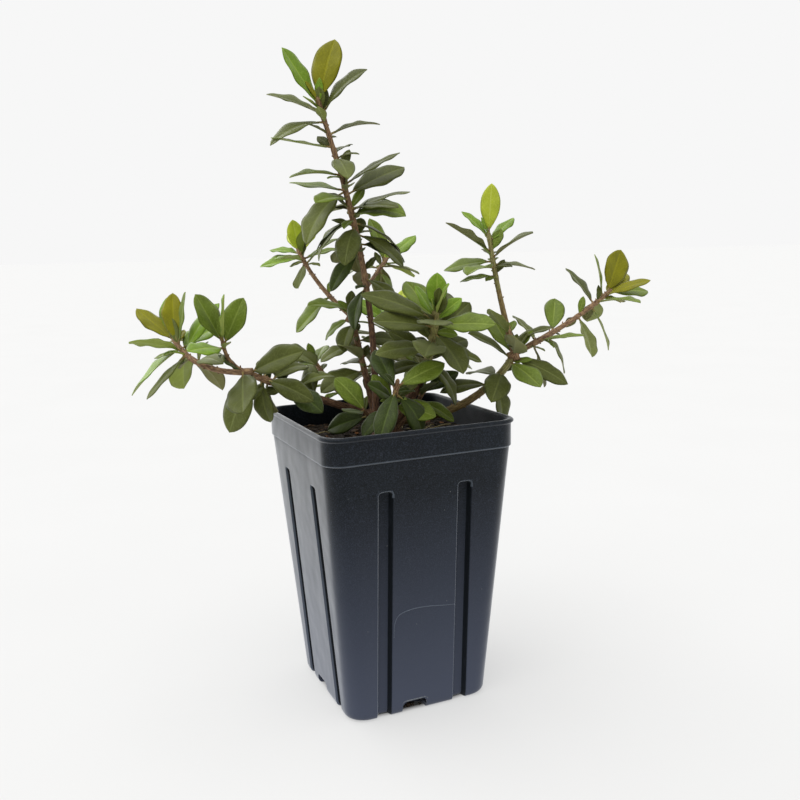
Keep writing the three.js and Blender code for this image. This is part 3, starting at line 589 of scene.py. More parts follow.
WHORLS_OF = {  # by shoot: share of it, stretch, leaves, usual length, habit, turn of the lowest leaf
    "leader": [
        (0.45, 8, 3, 24, "hanging", 170), (0.56, 8, 3, 30, "hanging", 190),
        (0.615, 8, 5, 30, "hanging", -45), (0.65, 6, 3, 34, "grown", 170), (0.665, 2, 1, 34, "level", -10),
        (0.7, 10, 5, 36, "level", -50), (0.735, 3, 2, 38, "grown", 200), (0.775, 2, 1, 32, "arching", 165),
        (0.845, 6, 3, 30, "level", 265), (0.95, 4, 2, 38, "arching", 180), (0.965, 2, 1, 30, "rising", 160),
        (0.9, 2, 1, 34, "grown", -10), (0.985, 2, 1, 34, "tip", 165), (0.995, 2, 1, 30, "bud", 0)],
    "second": [(0.5, 8, 5, 26, "grown", 45), (0.75, 8, 5, 22, "grown", 45), (0.98, 8, 6, 24, "grown", 225)],
    "left_fork": [(0.34, 2, 1, 26, "level", 140), (0.88, 7, 6, 26, "level", 315),
                  (0.98, 3, 4, 22, "bud", 0)],
    "back_fork": [(0.85, 8, 5, 26, "grown", 0), (0.98, 4, 4, 28, "bud", 0)],
    "middle": [(0.6, 6, 6, 28, "grown", 180), (0.74, 8, 6, 30, "level", 45), (0.9, 8, 6, 32, "level", 270),
               (0.95, 2, 1, 38, "young", 150), (0.98, 5, 4, 20, "bud", 0)],
    "left": [(0.5, 6, 3, 20, "young", 45), (0.66, 6, 4, 30, "hanging", 0), (0.84, 6, 5, 28, "hanging", 0),
             (0.98, 6, 4, 36, "level", 180)],
    "left_outer": [(0.62, 6, 2, 30, "hanging", 290), (0.82, 8, 7, 34, "level", 195),
                   (0.97, 4, 4, 26, "bud", 290)],
    "left_side": [(0.97, 4, 4, 28, "bud", 225)],
    "right": [(0.78, 10, 4, 28, "hanging", 190), (0.97, 6, 7, 34, "level", 270)],
    "upright": [(0.12, 6, 4, 28, "level", 180), (0.66, 2, 1, 24, "level", 140),
                (0.8, 9, 6, 32, "level", 225), (0.98, 4, 3, 26, "bud", 0)],
    "outer": [(0.18, 8, 4, 26, "level", 225), (0.3, 8, 3, 26, "young", 225), (0.62, 2, 1, 30, "young", 0),
              (0.84, 10, 5, 26, "level", 0), (0.97, 5, 5, 28, "bud", 270)],
    "front": [(0.56, 8, 6, 22, "young", 180), (0.85, 6, 4, 30, "grown", 300)],
    "back": [(0.56, 10, 5, 28, "grown", 156), (0.78, 10, 6, 30, "grown", -24), (0.97, 6, 5, 26, "bud", 156)],
    "back_left": [(0.62, 8, 4, 26, "grown", 156), (0.94, 8, 5, 26, "young", -24)],
    "back_right": [(0.6, 10, 5, 30, "grown", 156), (0.93, 10, 6, 28, "young", -24)],
    "low_right": [(0.9, 5, 4, 26, "young", 330)],
    "low_left": [(0.85, 5, 4, 24, "young", 150)],
}
WHORLS = [(shoot, *whorl) for shoot, whorls in WHORLS_OF.items() for whorl in whorls]
print("shoots:", len(SHOOTS), " whorls:", len(WHORLS))

# %% [markdown]
# ### Paths of the shoots
# A shoot is walked in 24 short steps. Its direction at each step comes from its heading and climb,
# so its length is exact whatever its curve. A hand-drawn curve could be used, but its length and
# its joints would drift from the solids.

# %% Paths of the shoots
shoot_paths = {}


def unit(vector):
    """The vector at length one."""
    return vector / np.linalg.norm(vector)


def path_of(name):
    """The shoot's 25 points in mm, in the row frame."""
    if name not in shoot_paths:
        start, length, heading, climb, swing, bend, _ = SHOOTS[name]
        if isinstance(start, str):
            start = path_of(start)[-1]
        else:
            start = np.array(start, float) + (0, 0, SOIL_LEVEL)
        points = [start]
        for step in range(SHOOT_STEPS):
            share = (step + 0.5) / SHOOT_STEPS
            rise = math.radians(climb + bend * share)
            turn = math.radians(heading + swing * share)
            flat = math.cos(rise)
            along = np.array((flat * math.cos(turn), flat * math.sin(turn), math.sin(rise)))
            points.append(points[-1] + along * length / SHOOT_STEPS)
        shoot_paths[name] = np.array(points)
    return shoot_paths[name]


def point_on(name, share):
    """The point at a share of a shoot and the way it runs there."""
    path = path_of(name)
    place = share * SHOOT_STEPS
    step = min(max(math.floor(place), 0), SHOOT_STEPS - 1)
    along = path[step + 1] - path[step]
    return path[step] + along * (place - step), unit(along)


def cross_axes(along):
    """Two directions square to a shoot, from which its leaves' turns are counted."""
    first = unit(np.cross((0, 1, 0), along))
    return first, np.cross(along, first)


print("leader tip in mm:", [round(value, 1) for value in path_of("leader")[-1]])

# %% [markdown]
# ### Leaves of a whorl
# Azalea leaves crowd together at the end of each season's growth. The lowest leaf of a whorl opens
# widest and droops most, and the highest stands up. The chance numbers come from a small generator
# that is the same in the CAD source, so both grow the same leaves.

# %% Leaves of a whorl
FIRST_NUMBERS = 3
SAME_TIP = 0.45


def seeded_numbers(seed):
    """An endless run of numbers from 0 to 1 that is the same for the same seed."""
    state = seed * 2654435761 & 0xFFFFFFFF
    skipped = 0
    while True:
        state = (state * 1664525 + 1013904223) & 0xFFFFFFFF
        skipped += 1
        if skipped > FIRST_NUMBERS:
            yield state / 2 ** 32


def whorls_in(shoot, low, high):
    """The whorls on one length of a shoot, each after its place in the list."""
    return [(order, whorl) for order, whorl in enumerate(WHORLS)
            if whorl[0] == shoot and low < whorl[1] <= high]


def leaves_of(whorl, seed, count, usual, habit, first_turn):
    """The whorl's leaves, lowest first, each as its place, its directions and its sizes."""
    shoot, at, stretch = whorl[:3]
    numbers = seeded_numbers(seed)
    (open_low, open_high), (droop_low, droop_high) = HABITS[habit]
    grown = []
    for index in range(count):
        height = index / (count - 1) if count > 1 else 0.5
        point, along = point_on(shoot, at + stretch * (height - 0.5) / SHOOTS[shoot][1])
        first, second = cross_axes(along)
        sway = {name: amount * (next(numbers) - 0.5) for name, amount in JITTER.items()}
        turn = math.radians(first_turn + GOLDEN_TURN * index + sway["turn"])
        opening = math.radians(open_low + (open_high - open_low) * height + sway["open"])
        size = usual * (1 + sway["size"])
        droop = math.radians(droop_low + (droop_high - droop_low) * height + sway["droop"])
        twist = math.radians(sway["twist"])
        out = (along * math.cos(opening)
               + (first * math.cos(turn) + second * math.sin(turn)) * math.sin(opening))
        bright = unit(LIGHT + along * TIPWARD)
        level = unit(bright - out * bright.dot(out))
        face = level * math.cos(twist) + np.cross(out, level) * math.sin(twist)
        grown.append({"whorl": whorl, "point": point, "out": out, "face": face, "side": np.cross(out, face),
                      "size": size, "droop": droop, "width": size * (SLENDERNESS + sway["width"])})
    return grown


def midrib(leaf, share):
    """Points on the leaf's arching midrib at shares of its length."""
    bend = leaf["droop"] * np.asarray(share, float)
    bend = np.where(np.abs(bend) < 1e-4, 1e-4, bend)
    reach = leaf["size"] * np.asarray(share, float)
    return (leaf["point"] + leaf["out"] * (reach * np.sin(bend) / bend)[..., None]
            - leaf["face"] * (reach * (1 - np.cos(bend)) / bend)[..., None])


def upper_way(leaf, share):
    """The direction that the leaf's upper face looks in at shares of its length."""
    bend = (leaf["droop"] * np.asarray(share, float))[..., None]
    return leaf["face"] * np.cos(bend) + leaf["out"] * np.sin(bend)


def is_grown(leaf, tips):
    """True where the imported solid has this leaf: one of its corners lies at the leaf's tip."""
    tip = midrib(leaf, np.array([1.0]))[0]
    return np.min(np.linalg.norm(tips - tip, axis=1)) < SAME_TIP


def node_corners(name):
    """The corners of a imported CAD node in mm."""
    corners = np.empty(len(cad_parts[name].data.vertices) * 3, np.float32)
    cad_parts[name].data.vertices.foreach_get("co", corners)
    return corners.reshape(-1, 3) / MM


mass_leaves = {}
for mass, shoot, low, high in MASSES:
    tips = node_corners(mass + "_foliage")
    mass_leaves[mass] = [leaf for order, whorl in whorls_in(shoot, low, high)
                         for leaf in leaves_of(whorl, SEED + order + 1, *whorl[3:]) if is_grown(leaf, tips)]
print("leaves that the solids have:", sum(len(leaves) for leaves in mass_leaves.values()))

# %% [markdown]
# ### Finer leaves
# The solids carry only the large leaves. A real whorl also has small ones: unfolding leaves round
# the terminal bud and short ones in the axils. The same rule grows them with other seeds, at under
# half the length, so they stay within the reach of the large ones.

# %% Finer leaves
FINE_SHARE, FINE_COUNT, FINE_TURN, FINE_SEED = 0.42, 0.6, 60, 1000
BUD_FROM = 0.92
fine_leaves = {}
for mass, shoot, low, high in MASSES:
    fine_leaves[mass] = []
    for order, whorl in whorls_in(shoot, low, high):
        _, at, _, leaves, usual, _, turn = whorl
        fine_leaves[mass] += leaves_of(whorl, SEED + FINE_SEED + order, max(2, round(leaves * FINE_COUNT)),
                                       usual * FINE_SHARE, "bud" if at > BUD_FROM else "young",
                                       turn + FINE_TURN)
print("finer leaves:", sum(len(leaves) for leaves in fine_leaves.values()))

# %% [markdown]
# ## Leaf skins
# An azalea leaf has a leathery upper skin with a sunken midrib and faint side veins, and a duller,
# paler underside. Its green depends on its age: dark and greyish when old, clear green when grown,
# lime and olive at the tips, and brown when turning. One recipe makes them all from two colours. The
# colour of a leaf is a plain base colour dealt out to its spray, with slow mottling over it, and no
# image is used. The skin's pores are too fine to show, so their speckle is drawn at 0.9 mm.

# %% Leaf skins
VEIN_PAIRS = 6
VEIN_SLANT = 1.7


def leathery_leaf(name, colour, vein_colour, roughness, mottle):
    """Leaf skin with a midrib, side veins and mottling. It reads the blade's own UV."""
    finish, tree, shader = start_finish(name)
    place = add_node(tree, "TexCoord", {}, "Object")
    blade = add_node(tree, "UVMap", {}, uv_map="blade")
    across, along = add_node(tree, "SeparateXYZ", {0: blade}).node.outputs[:2]
    wave, cloud, speckle = (
        add_node(tree, "TexNoise", {"Vector": place, "Scale": per_metre(size), "Detail": detail})
        for size, detail in ((5, 1), (9, 3), (0.9, 2)))
    offset = add_node(tree, "Math", {0: across, 1: 0.5}, operation="SUBTRACT")
    aside = add_node(tree, "Math", {0: offset}, operation="ABSOLUTE")
    rib = add_node(tree, "MapRange", {0: aside, 1: 0.012, 2: 0.05, 3: 1, 4: 0},
                   interpolation_type="SMOOTHSTEP")
    run = add_node(tree, "Math", {0: along, 1: VEIN_PAIRS}, operation="MULTIPLY")
    slant = add_node(tree, "Math", {0: aside, 1: -2 * VEIN_SLANT, 2: run}, operation="MULTIPLY_ADD")
    wobble = add_node(tree, "Math", {0: wave, 1: 0.7, 2: slant}, operation="MULTIPLY_ADD")
    beat = add_node(tree, "Math", {0: wobble, 1: 0.5}, operation="PINGPONG")
    vein = add_node(tree, "MapRange", {0: beat, 1: 0, 2: 0.12, 3: 1, 4: 0}, interpolation_type="SMOOTHSTEP")
    lines = add_node(tree, "Math", {0: vein, 1: 0.16}, operation="MULTIPLY")
    marks = add_node(tree, "Math", {0: rib, 1: 0.5, 2: lines}, operation="MULTIPLY_ADD")
    shade = add_node(tree, "MapRange", {0: cloud, 1: 0.32, 2: 0.68, 3: 0, 4: 1})
    dots = add_node(tree, "MapRange", {0: speckle, 1: 0.5, 2: 0.75, 3: 0, 4: 0.35})
    light = [min(1, channel * (1 + mottle)) for channel in linear(colour)[:3]] + [1.0]
    tint = [channel * (1 - mottle) for channel in linear(colour)[:3]] + [1.0]
    for share, over in ((shade, light), (dots, vein_colour), (marks, vein_colour)):
        tint = add_node(tree, "Mix", {0: share, 6: tint, 7: over}, 2, data_type="RGBA")
    gloss = add_node(tree, "MapRange",
                     {0: speckle, 1: 0.3, 2: 0.7, 3: roughness - 0.06, 4: roughness + 0.08})
    sunk = add_node(tree, "Math", {0: vein, 1: -1.0, 2: speckle}, operation="MULTIPLY_ADD")
    relief = add_node(tree, "Bump", {"Strength": 0.4, "Distance": 0.05 * MM, "Height": sunk})
    feed(shader, {"Base Color": tint, "Roughness": gloss, "IOR": 1.43, "Specular IOR Level": 0.2,
                  "Sheen Weight": 0.13, "Sheen Roughness": 0.5, "Sheen Tint": "#e6ebd2", "Normal": relief})
    return finish


LEAF_AGES = {  # upper skin, its veins, underside, its veins
    # The deep skin is painted shade for low and hanging leaves.
    "deep": ("#2b370b", "#526228", "#4a5122", "#69713a"),
    "old": ("#434918", "#6b733d", "#6e6d40", "#8c8b5f"),
    "dull": ("#555c27", "#7a834b", "#7e7f4e", "#97986a"),
    "grown": ("#5c6d1f", "#8c9b48", "#838c49", "#9fa86a"),
    "fresh": ("#66831e", "#98ae48", "#8d9b42", "#a9b660"),
    "lime": ("#a2ae2e", "#bfc65c", "#a9b54c", "#c0c96e"),
    "olive": ("#747205", "#928f1a", "#7b7714", "#979432"),
    "turning": ("#86672c", "#a08449", "#8c7240", "#a68c5a"),
}
leaf_finishes = []
for age, (upper, vein, under, under_vein) in LEAF_AGES.items():
    leaf_finishes.append(leathery_leaf(f"azalea_leaf_{age}_upper", upper, vein, 0.46, 0.16))
    leaf_finishes.append(leathery_leaf(f"azalea_leaf_{age}_underside", under, under_vein, 0.62, 0.1))
AGES = list(LEAF_AGES)
print("leaf finishes:", len(leaf_finishes))

# %% [markdown]
# ## Bark and petiole finishes
# Young azalea wood has a thin red-brown bark with fine lengthwise cracks that show paler wood
# inside, and the newest growth is still olive green. Petioles are reddish where they leave the
# twig. Long noise, stretched along the shoot by its own UV, draws the cracks.

# %% Bark and petioles
def thin_bark(name, deep, pale, crack_mm, roughness):
    """Thin bark with lengthwise cracks. Its UV runs round the shoot and along it, in mm."""
    finish, tree, shader = start_finish(name)
    blade = add_node(tree, "UVMap", {}, uv_map="blade")
    place = add_node(tree, "TexCoord", {}, "Object")
    long = add_node(tree, "Mapping", {0: blade, "Scale": (1, 0.16, 1)})
    crack = add_node(tree, "TexNoise", {"Vector": long, "Scale": 1 / crack_mm, "Detail": 4})
    patch = add_node(tree, "TexNoise", {"Vector": place, "Scale": per_metre(5), "Detail": 2})
    fibre = add_node(tree, "MapRange", {0: crack, 1: 0.42, 2: 0.66, 3: 0, 4: 1})
    mottled = add_node(tree, "Math", {0: patch, 1: 0.5, 2: fibre}, operation="MULTIPLY_ADD")
    share = add_node(tree, "MapRange", {0: mottled, 1: 0.15, 2: 1.2, 3: 0, 4: 1})
    tint = add_node(tree, "Mix", {0: share, 6: deep, 7: pale}, 2, data_type="RGBA")
    relief = add_node(tree, "Bump", {"Strength": 0.8, "Distance": 0.15 * MM, "Height": crack})
    feed(shader, {"Base Color": tint, "Roughness": roughness, "IOR": 1.45, "Normal": relief})
    return finish


BARK = thin_bark("azalea_bark", "#3a2418", "#7a5a40", 0.5, 0.8)
YOUNG_BARK = thin_bark("azalea_young_bark", "#533828", "#987a55", 0.5, 0.72)
OLIVE_BARK = thin_bark("azalea_olive_bark", "#5c4a28", "#8e7a4a", 0.5, 0.7)
GREEN_TWIG = thin_bark("azalea_green_twig", "#5f5430", "#8f8c50", 0.6, 0.65)
PETIOLE = thin_bark("azalea_petiole", "#6a4a2a", "#8d8444", 0.6, 0.6)
print("wood finishes:", [finish.name for finish in (BARK, YOUNG_BARK, OLIVE_BARK, GREEN_TWIG, PETIOLE)])

# %% [markdown]
# ## Limbs with bark relief
# Every limb is one tapering tube along its shoot. Its skin swells at each whorl and is roughened
# by noise, and old petiole stubs stand on it in golden turns. The pieces of one shoot share the
# same relief, so their ends meet without a step. Sculpting could give more, but not at this size.

# %% Girth and path of a limb
SWELLING, FLARE, FLARE_REACH = 0.22, 0.5, 2.5
PATH_SPACING = 0.25


def girth_at(shoot, share):
    """The shoot's radius in mm, with a swelling under each whorl and a flare where it forks."""
    length, (foot, tip) = SHOOTS[shoot][1], SHOOTS[shoot][6]
    radius = foot + (tip - foot) * np.clip(share, 0, 1)
    for at, stretch, *_ in WHORLS_OF[shoot]:
        radius = radius + SWELLING * np.exp(-((share - at) * length / (stretch * 0.6)) ** 2)
    return radius + FLARE * np.exp(-np.maximum(share, 0) * length / FLARE_REACH)


def fine_path(shoot, shares):
    """Smooth points on the shoot at the given shares, running straight on past its ends."""
    path = path_of(shoot)
    smooth = smooth_path(path, PATH_SPACING)
    run = np.linspace(0, 1, len(smooth))
    inside = np.stack([np.interp(shares, run, smooth[:, axis]) for axis in range(3)], axis=1)
    before = (path[1] - path[0]) * SHOOT_STEPS
    after = (path[-1] - path[-2]) * SHOOT_STEPS
    return inside + np.minimum(shares, 0)[:, None] * before + np.maximum(shares - 1, 0)[:, None] * after


print("girth of the leader at its foot and tip in mm:", girth_at("leader", np.array([0, 1])).round(2))

# %% [markdown]
# ### Wood with stubs and a bud
# Bark this young is wrinkled by a tenth of a millimetre or so, and a terminal bud closes each tip.
# A fallen leaf leaves the stub of its petiole. Real wood grows on without a step where a stem
# becomes a leafy twig, so one function makes both.

# %% Limbs
RING_STEP = 0.8
LIMB_SIDES = 14
BUD_REACH = 3.0
SUNK_FOOT = 4
STUB_FROM = 0.06
STUB_RADII = [0.5, 0.36, 0.16]
LIMB_STUBS, TWIG_STUBS = 3.2, 2.4
LIMB_FINISHES = {"upright": OLIVE_BARK, "right": OLIVE_BARK}


def limb(shoot, low, high):
    """One length of a shoot as points, faces and UV, with bark relief and a bud at its end."""
    length = SHOOTS[shoot][1]
    start = -SUNK_FOOT / length if low == 0 else low
    steps = max(3, round((high - start) * length / RING_STEP))
    shares = np.linspace(start, high, steps + 1)
    radii = girth_at(shoot, shares)
    if high == 1:
        cap = np.array([0.35, 0.7, 0.9, 1.0])
        shares = np.concatenate([shares, 1 + BUD_REACH / length * cap])
        radii = np.concatenate([radii, radii[-1] * np.array([0.95, 0.66, 0.36, 0.08])])
    path = fine_path(shoot, shares)
    rings = np.array(tube(path, radii, LIMB_SIDES))
    for middle, radius, ring in zip(path, radii, rings):
        for side in range(LIMB_SIDES):
            place = Vector(ring[side] * 0.9)
            rough = 0.10 * noise.noise(place) + 0.05 * noise.noise(place * 3)
            ring[side] += (ring[side] - middle) / radius * rough * min(1, radius)
    points, faces = loft(list(rings))
    angles = np.arange(LIMB_SIDES) / LIMB_SIDES * 2 * np.pi
    around = np.broadcast_to(angles * radii[:, None], rings.shape[:2])
    upward = np.broadcast_to((shares * length)[:, None], rings.shape[:2])
    return points, faces, np.stack([around.ravel(), upward.ravel()], axis=1)


def stubs(shoot, low, high, spacing):
    """Old petiole stubs on a bare limb, a golden turn apart."""
    length = SHOOTS[shoot][1]
    start = max(low, STUB_FROM)
    parts = []
    chance = random.Random(len(shoot) * 100 + int(low * 50))
    for order in range(int((high - start) * length / spacing)):
        share = start + (order + chance.random()) * spacing / length
        if share >= high:
            continue
        point, along = point_on(shoot, share)
        first, second = cross_axes(along)
        turn = math.radians(GOLDEN_TURN * order + chance.uniform(-20, 20))
        away = first * math.cos(turn) + second * math.sin(turn)
        radius = float(girth_at(shoot, np.array(share)))
        reach = chance.uniform(0.3, 0.9)
        line = [point + away * radius * 0.7, point + away * (radius + reach * 0.5) + along * reach * 0.5,
                point + away * (radius + reach) + along * reach * 1.2]
        parts.append(loft(tube(line, STUB_RADII, 6, hint=along + away * 0.1 + (0.01, 0.02, 0))))
    return parts


def joined(parts):
    """Parts of (points, faces, UV) or (points, faces) as one set."""
    full = [part if len(part) == 3 else (*part, np.array(part[0])[:, [0, 2]]) for part in parts]
    points, faces = gathered([part[:2] for part in full])
    return points, faces, np.concatenate([part[2] for part in full])


def wood(name, shoot, low, high, spacing, finish, node):
    """The settled piece of one length of a shoot: the limb and the stubs on it."""
    points, faces, blade = joined([limb(shoot, low, high), *stubs(shoot, low, high, spacing)])
    return settle(make_piece(name, points, faces, [finish], blade=blade), "bark", node)


limb_pieces = [wood(name + "_bark", shoot, low, high, LIMB_STUBS, LIMB_FINISHES.get(shoot, BARK), name)
               for name, shoot, low, high in LIMBS]
print("limbs:", len(limb_pieces), " triangles:", triangles(*limb_pieces))

# %% [markdown]
# ## Trunk
# The shoots spring from one short, swollen crown that stands on the mix. It flares into root
# shoulders at its foot. A lathe gives the taper, and lobes and noise break its roundness.

# %% Trunk
TRUNK_PROFILE = [(10.0, 0.0), (9.2, 0.7), (8.2, 1.6), (7.6, 2.8), (7.2, 4.0), (6.9, 5.5), (6.5, 7.0),
                 (5.8, 8.4), (4.8, 9.6), (3.7, 10.4), (2.4, 11.0), (1.0, 11.3)]
TRUNK_SIDES = 56
USUAL_RADIUS = 7
rings, around = [], np.arange(TRUNK_SIDES) / TRUNK_SIDES * 2 * np.pi
for radius, height in TRUNK_PROFILE:
    lobes = 1 + 0.07 * np.cos(3 * around + 0.6) + 0.05 * np.cos(7 * around + height * 0.3)
    ring = np.stack([np.cos(around) * radius * lobes, np.sin(around) * radius * lobes,
                     np.full(TRUNK_SIDES, SOIL_LEVEL + height)], axis=1)
    rough = np.array([noise.noise(Vector(point * 0.5)) * 0.35 for point in ring])
    ring[:, :2] *= 1 + rough[:, None] / max(radius, 3)
    rings.append(ring)
points, faces = loft(rings)
blade = np.stack([np.tile(around * USUAL_RADIUS, len(rings)), points[:, 2]], axis=1)
settle(make_piece("trunk_bark", points, faces, [BARK], blade=blade), "bark", "trunk")
print("trunk height in mm:", TRUNK_PROFILE[-1][1])

# %% [markdown]
# ## Leaf blades
# A leaf is a thin solid in its own outline: a narrow base, full shoulders past the middle and a
# blunt tip. The blade folds a little at the midrib, its margin waves and rolls down, and the midrib
# is sunk above and raised below. A flat card with a cut-out picture would be lighter, but real
# thickness keeps its edge true from every side.

# %% Leaf blades
BLADE_STATIONS = 18
BLADE_COLUMNS = 12
BLADE_SKEW, BLADE_FULLNESS = 1.15, 0.68
FOLD = math.radians(9)
PETIOLE_RADIUS, TIP_RADIUS = 0.5, 0.16
SKIN_HALF, EDGE_HALF = 0.2, 0.02
RIB_FOOT, RIB_TIP, RIB_SUNK = 0.42, 0.06, 0.16
MARGIN_WAVE = 0.07


def leaf_blade(leaf, chance):
    """Points, faces, UV and the side of each face (0 above, 1 below) of one blade."""
    blade = np.linspace(0, 1, BLADE_STATIONS + 1) ** 0.92
    share = PETIOLE_SHARE * 0.8 + (1 - PETIOLE_SHARE * 0.8) * blade
    spine, above = midrib(leaf, share), upper_way(leaf, share)
    swell = np.maximum(np.sin(np.pi * blade ** BLADE_SKEW), 0) ** BLADE_FULLNESS
    half = np.maximum(leaf["width"] / 2 * swell, TIP_RADIUS)
    half[0] = PETIOLE_RADIUS
    half = half[:, None]
    steps = np.linspace(-1, 1, BLADE_COLUMNS + 1)
    aside = np.abs(steps) ** 1.5
    across = np.sign(steps) * aside
    phase, waves = chance.uniform(0, 6.3), chance.uniform(1.5, 3.0)
    cup = chance.uniform(-0.5, 1.0)
    roll = chance.uniform(0.04, 0.16)
    wave = np.sin(waves * 2 * np.pi * blade + phase)[:, None] * np.sign(across) * aside ** 2
    lift = half * (aside * math.sin(FOLD) * (1 + cup) - roll * aside ** 4 + MARGIN_WAVE * wave)
    groove = np.exp(-(across * half / 0.5) ** 2)
    thick = SKIN_HALF * (1 - aside ** 3)[None] + EDGE_HALF
    ridge = (RIB_FOOT * (1 - blade) + RIB_TIP)[:, None] * groove
    top = lift + thick - RIB_SUNK * groove * np.minimum(1, half / 2)
    low = lift - thick - ridge
    sheet = spine[:, None] + leaf["side"] * (half * across * math.cos(FOLD))[..., None]
    upper = sheet + above[:, None] * top[..., None]
    under = sheet + above[:, None] * low[..., None]
    points, faces = loft(list(np.concatenate([upper, under[:, ::-1][:, 1:-1]], axis=1)))
    ring_across = np.concatenate([across, across[::-1][1:-1]])
    uv = np.stack(np.broadcast_arrays(ring_across / 2 + 0.5, blade[:, None]), axis=2).reshape(-1, 2)
    ring_sides = np.repeat([0, 1], BLADE_COLUMNS)
    return points, faces, uv, np.concatenate([np.tile(ring_sides, BLADE_STATIONS), [0, 0]])


def petiole(leaf):
    """The leaf's short stalk from the twig's heart to the blade."""
    share = np.linspace(0, PETIOLE_SHARE * 1.25, 5)
    scale = min(1.0, leaf["size"] / 18)
    radii = scale * np.array([0.8, 0.66, 0.55, 0.5, 0.34])
    return loft(tube(midrib(leaf, share), radii, 7, hint=leaf["side"]))


print("points in one blade:", (BLADE_STATIONS + 1) * BLADE_COLUMNS * 2)

# %% [markdown]
# ### Ages of the leaves
# A shoot is youngest at its tip. The photograph's tip leaves are olive or lime, the ring below
# them clear green, and the leaves that hang in the shade below are dark. One old leaf near the pot
# is turning brown. So each whorl gets an age from its place, and each of its leaves draws its skin
# from that age's short list. The low and hanging leaves draw mostly the dark deep skin, which is
# painted shade.

# %% Ages of the leaves
TIP_SKINS = {
    "leader": ["olive"], "left_outer": ["olive", "olive", "fresh"], "outer": ["olive", "olive", "grown"],
    "upright": ["lime", "fresh", "fresh"], "left_fork": ["lime", "fresh"], "back_fork": ["fresh", "lime"],
    "middle": ["fresh"], "left_side": ["fresh", "grown"],
}
SKIN_OF_AGE = {
    "young": ["fresh", "grown", "grown", "fresh", "dull"],
    "grown": ["grown", "dull", "grown", "old"],
    "shade": ["old", "dull", "old", "dull", "grown"],
    # The deep skin in these lists is painted shade.
    "low": ["deep", "deep", "old", "grown"],
    "hanging": ["deep", "old", "dull", "old"],
    "turning": ["turning", "grown", "old"],
    "mixed": ["old", "dull", "grown", "deep"],
}
AGE_OF_WHORL = {("left", 0.5): "turning", ("left", 0.98): "mixed"}
YOUNG_FROM, LEADER_YOUNG_FROM = 0.6, 0.98


def skins_of(whorl):
    """The skins that a whorl's leaves draw from, by its place on its shoot."""
    shoot, at, habit = whorl[0], whorl[1], whorl[5]
    if habit == "bud":
        return TIP_SKINS.get(shoot, ["fresh", "lime"])
    age = "shade"
    if (shoot, at) in AGE_OF_WHORL:
        age = AGE_OF_WHORL[shoot, at]
    elif shoot in ("front", "low_right", "low_left"):
        age = "low"
    elif habit == "hanging":
        age = "hanging"
    elif shoot in ("left_outer", "left_fork") or (shoot == "leader" and at > LEADER_YOUNG_FROM):
        age = "young" if at > YOUNG_FROM else "grown"
    elif shoot in ("upright", "outer") or (at > BUD_FROM and shoot not in ("leader", "middle")):
        age = "grown"
    return SKIN_OF_AGE[age]


print("whorls that are young:", sum("fresh" in skins_of(whorl) for whorl in WHORLS))

# %% [markdown]
# ## Masses of foliage
# Each mass becomes two joined pieces, its leaves and its twig, which both stand for its CAD node.
# One object for each leaf would make hundreds of pieces, and one object for all would lose the
# mass's name.

# %% Masses of foliage
POT_INSIDE = BAND_HALF - WALL
WALL_CLEARANCE, MIX_CLEARANCE, RIM_MARGIN = 2.6, 0.6, 0.5


def clears_pot(leaf):
    """True where no part of the leaf's midrib dips into the mix or through the pot's wall."""
    for point in midrib(leaf, np.linspace(0.2, 1, 7)):
        reach = max(abs(point[0]), abs(point[1]))
        if reach < RIM_HALF + 1 and point[2] < SOIL_LEVEL + MIX_CLEARANCE:
            return False
        if abs(reach - POT_INSIDE) < WALL_CLEARANCE and point[2] < POT_HEIGHT + RIM_MARGIN:
            return False
    return True


foliage_pieces = []
for number, (mass, shoot, low, high) in enumerate(MASSES):
    chance = random.Random(SEED + number)
    node = mass + "_foliage"
    parts, picks = [], []
    for leaf in mass_leaves[mass] + [leaf for leaf in fine_leaves[mass] if clears_pot(leaf)]:
        skin = AGES.index(chance.choice(skins_of(leaf["whorl"])))
        points, faces, uv, sides = leaf_blade(leaf, chance)
        stalk = petiole(leaf)
        parts += [(points, faces, uv), stalk]
        picks += [2 * skin + sides, np.full(len(stalk[1]), len(leaf_finishes))]
    points, faces, blade = joined(parts)
    leaves = make_piece(mass + "_leaves", points, faces, leaf_finishes + [PETIOLE],
                        np.concatenate(picks), blade)
    finish = GREEN_TWIG if high == 1 and low >= 0.5 and shoot != "leader" else YOUNG_BARK
    foliage_pieces += [settle(leaves, "foliage", node),
                       wood(mass + "_twig", shoot, low, high, TWIG_STUBS, finish, node)]
print("foliage pieces:", len(foliage_pieces), " triangles:", triangles(*foliage_pieces))

# %% [markdown]
# ## Potting mix
# The mix is moist peat and bark with a few straw fibres. It fills the pot to 12 mm below the rim.
# One bumpy surface gives the ground and hundreds of angular chips lie on it. A displacement alone
# would look like plaster, because real bark chips have undersides and gaps.

# %% Mix finishes
def damp_mix(name, deep, pale, grain_mm, roughness):
    """Moist peat or bark with a grain of the given size."""
    finish, tree, shader = start_finish(name)
    place = add_node(tree, "TexCoord", {}, "Object")
    grain = add_node(tree, "TexNoise",
                     {"Vector": place, "Scale": per_metre(grain_mm), "Detail": 6, "Roughness": 0.7})
    share = add_node(tree, "MapRange", {0: grain, 1: 0.35, 2: 0.7, 3: 0, 4: 1})
    tint = add_node(tree, "Mix", {0: share, 6: deep, 7: pale}, 2, data_type="RGBA")
    relief = add_node(tree, "Bump", {"Strength": 1.0, "Distance": 0.5 * MM, "Height": grain})
    feed(shader, {"Base Color": tint, "Roughness": roughness, "IOR": 1.4, "Normal": relief})
    return finish


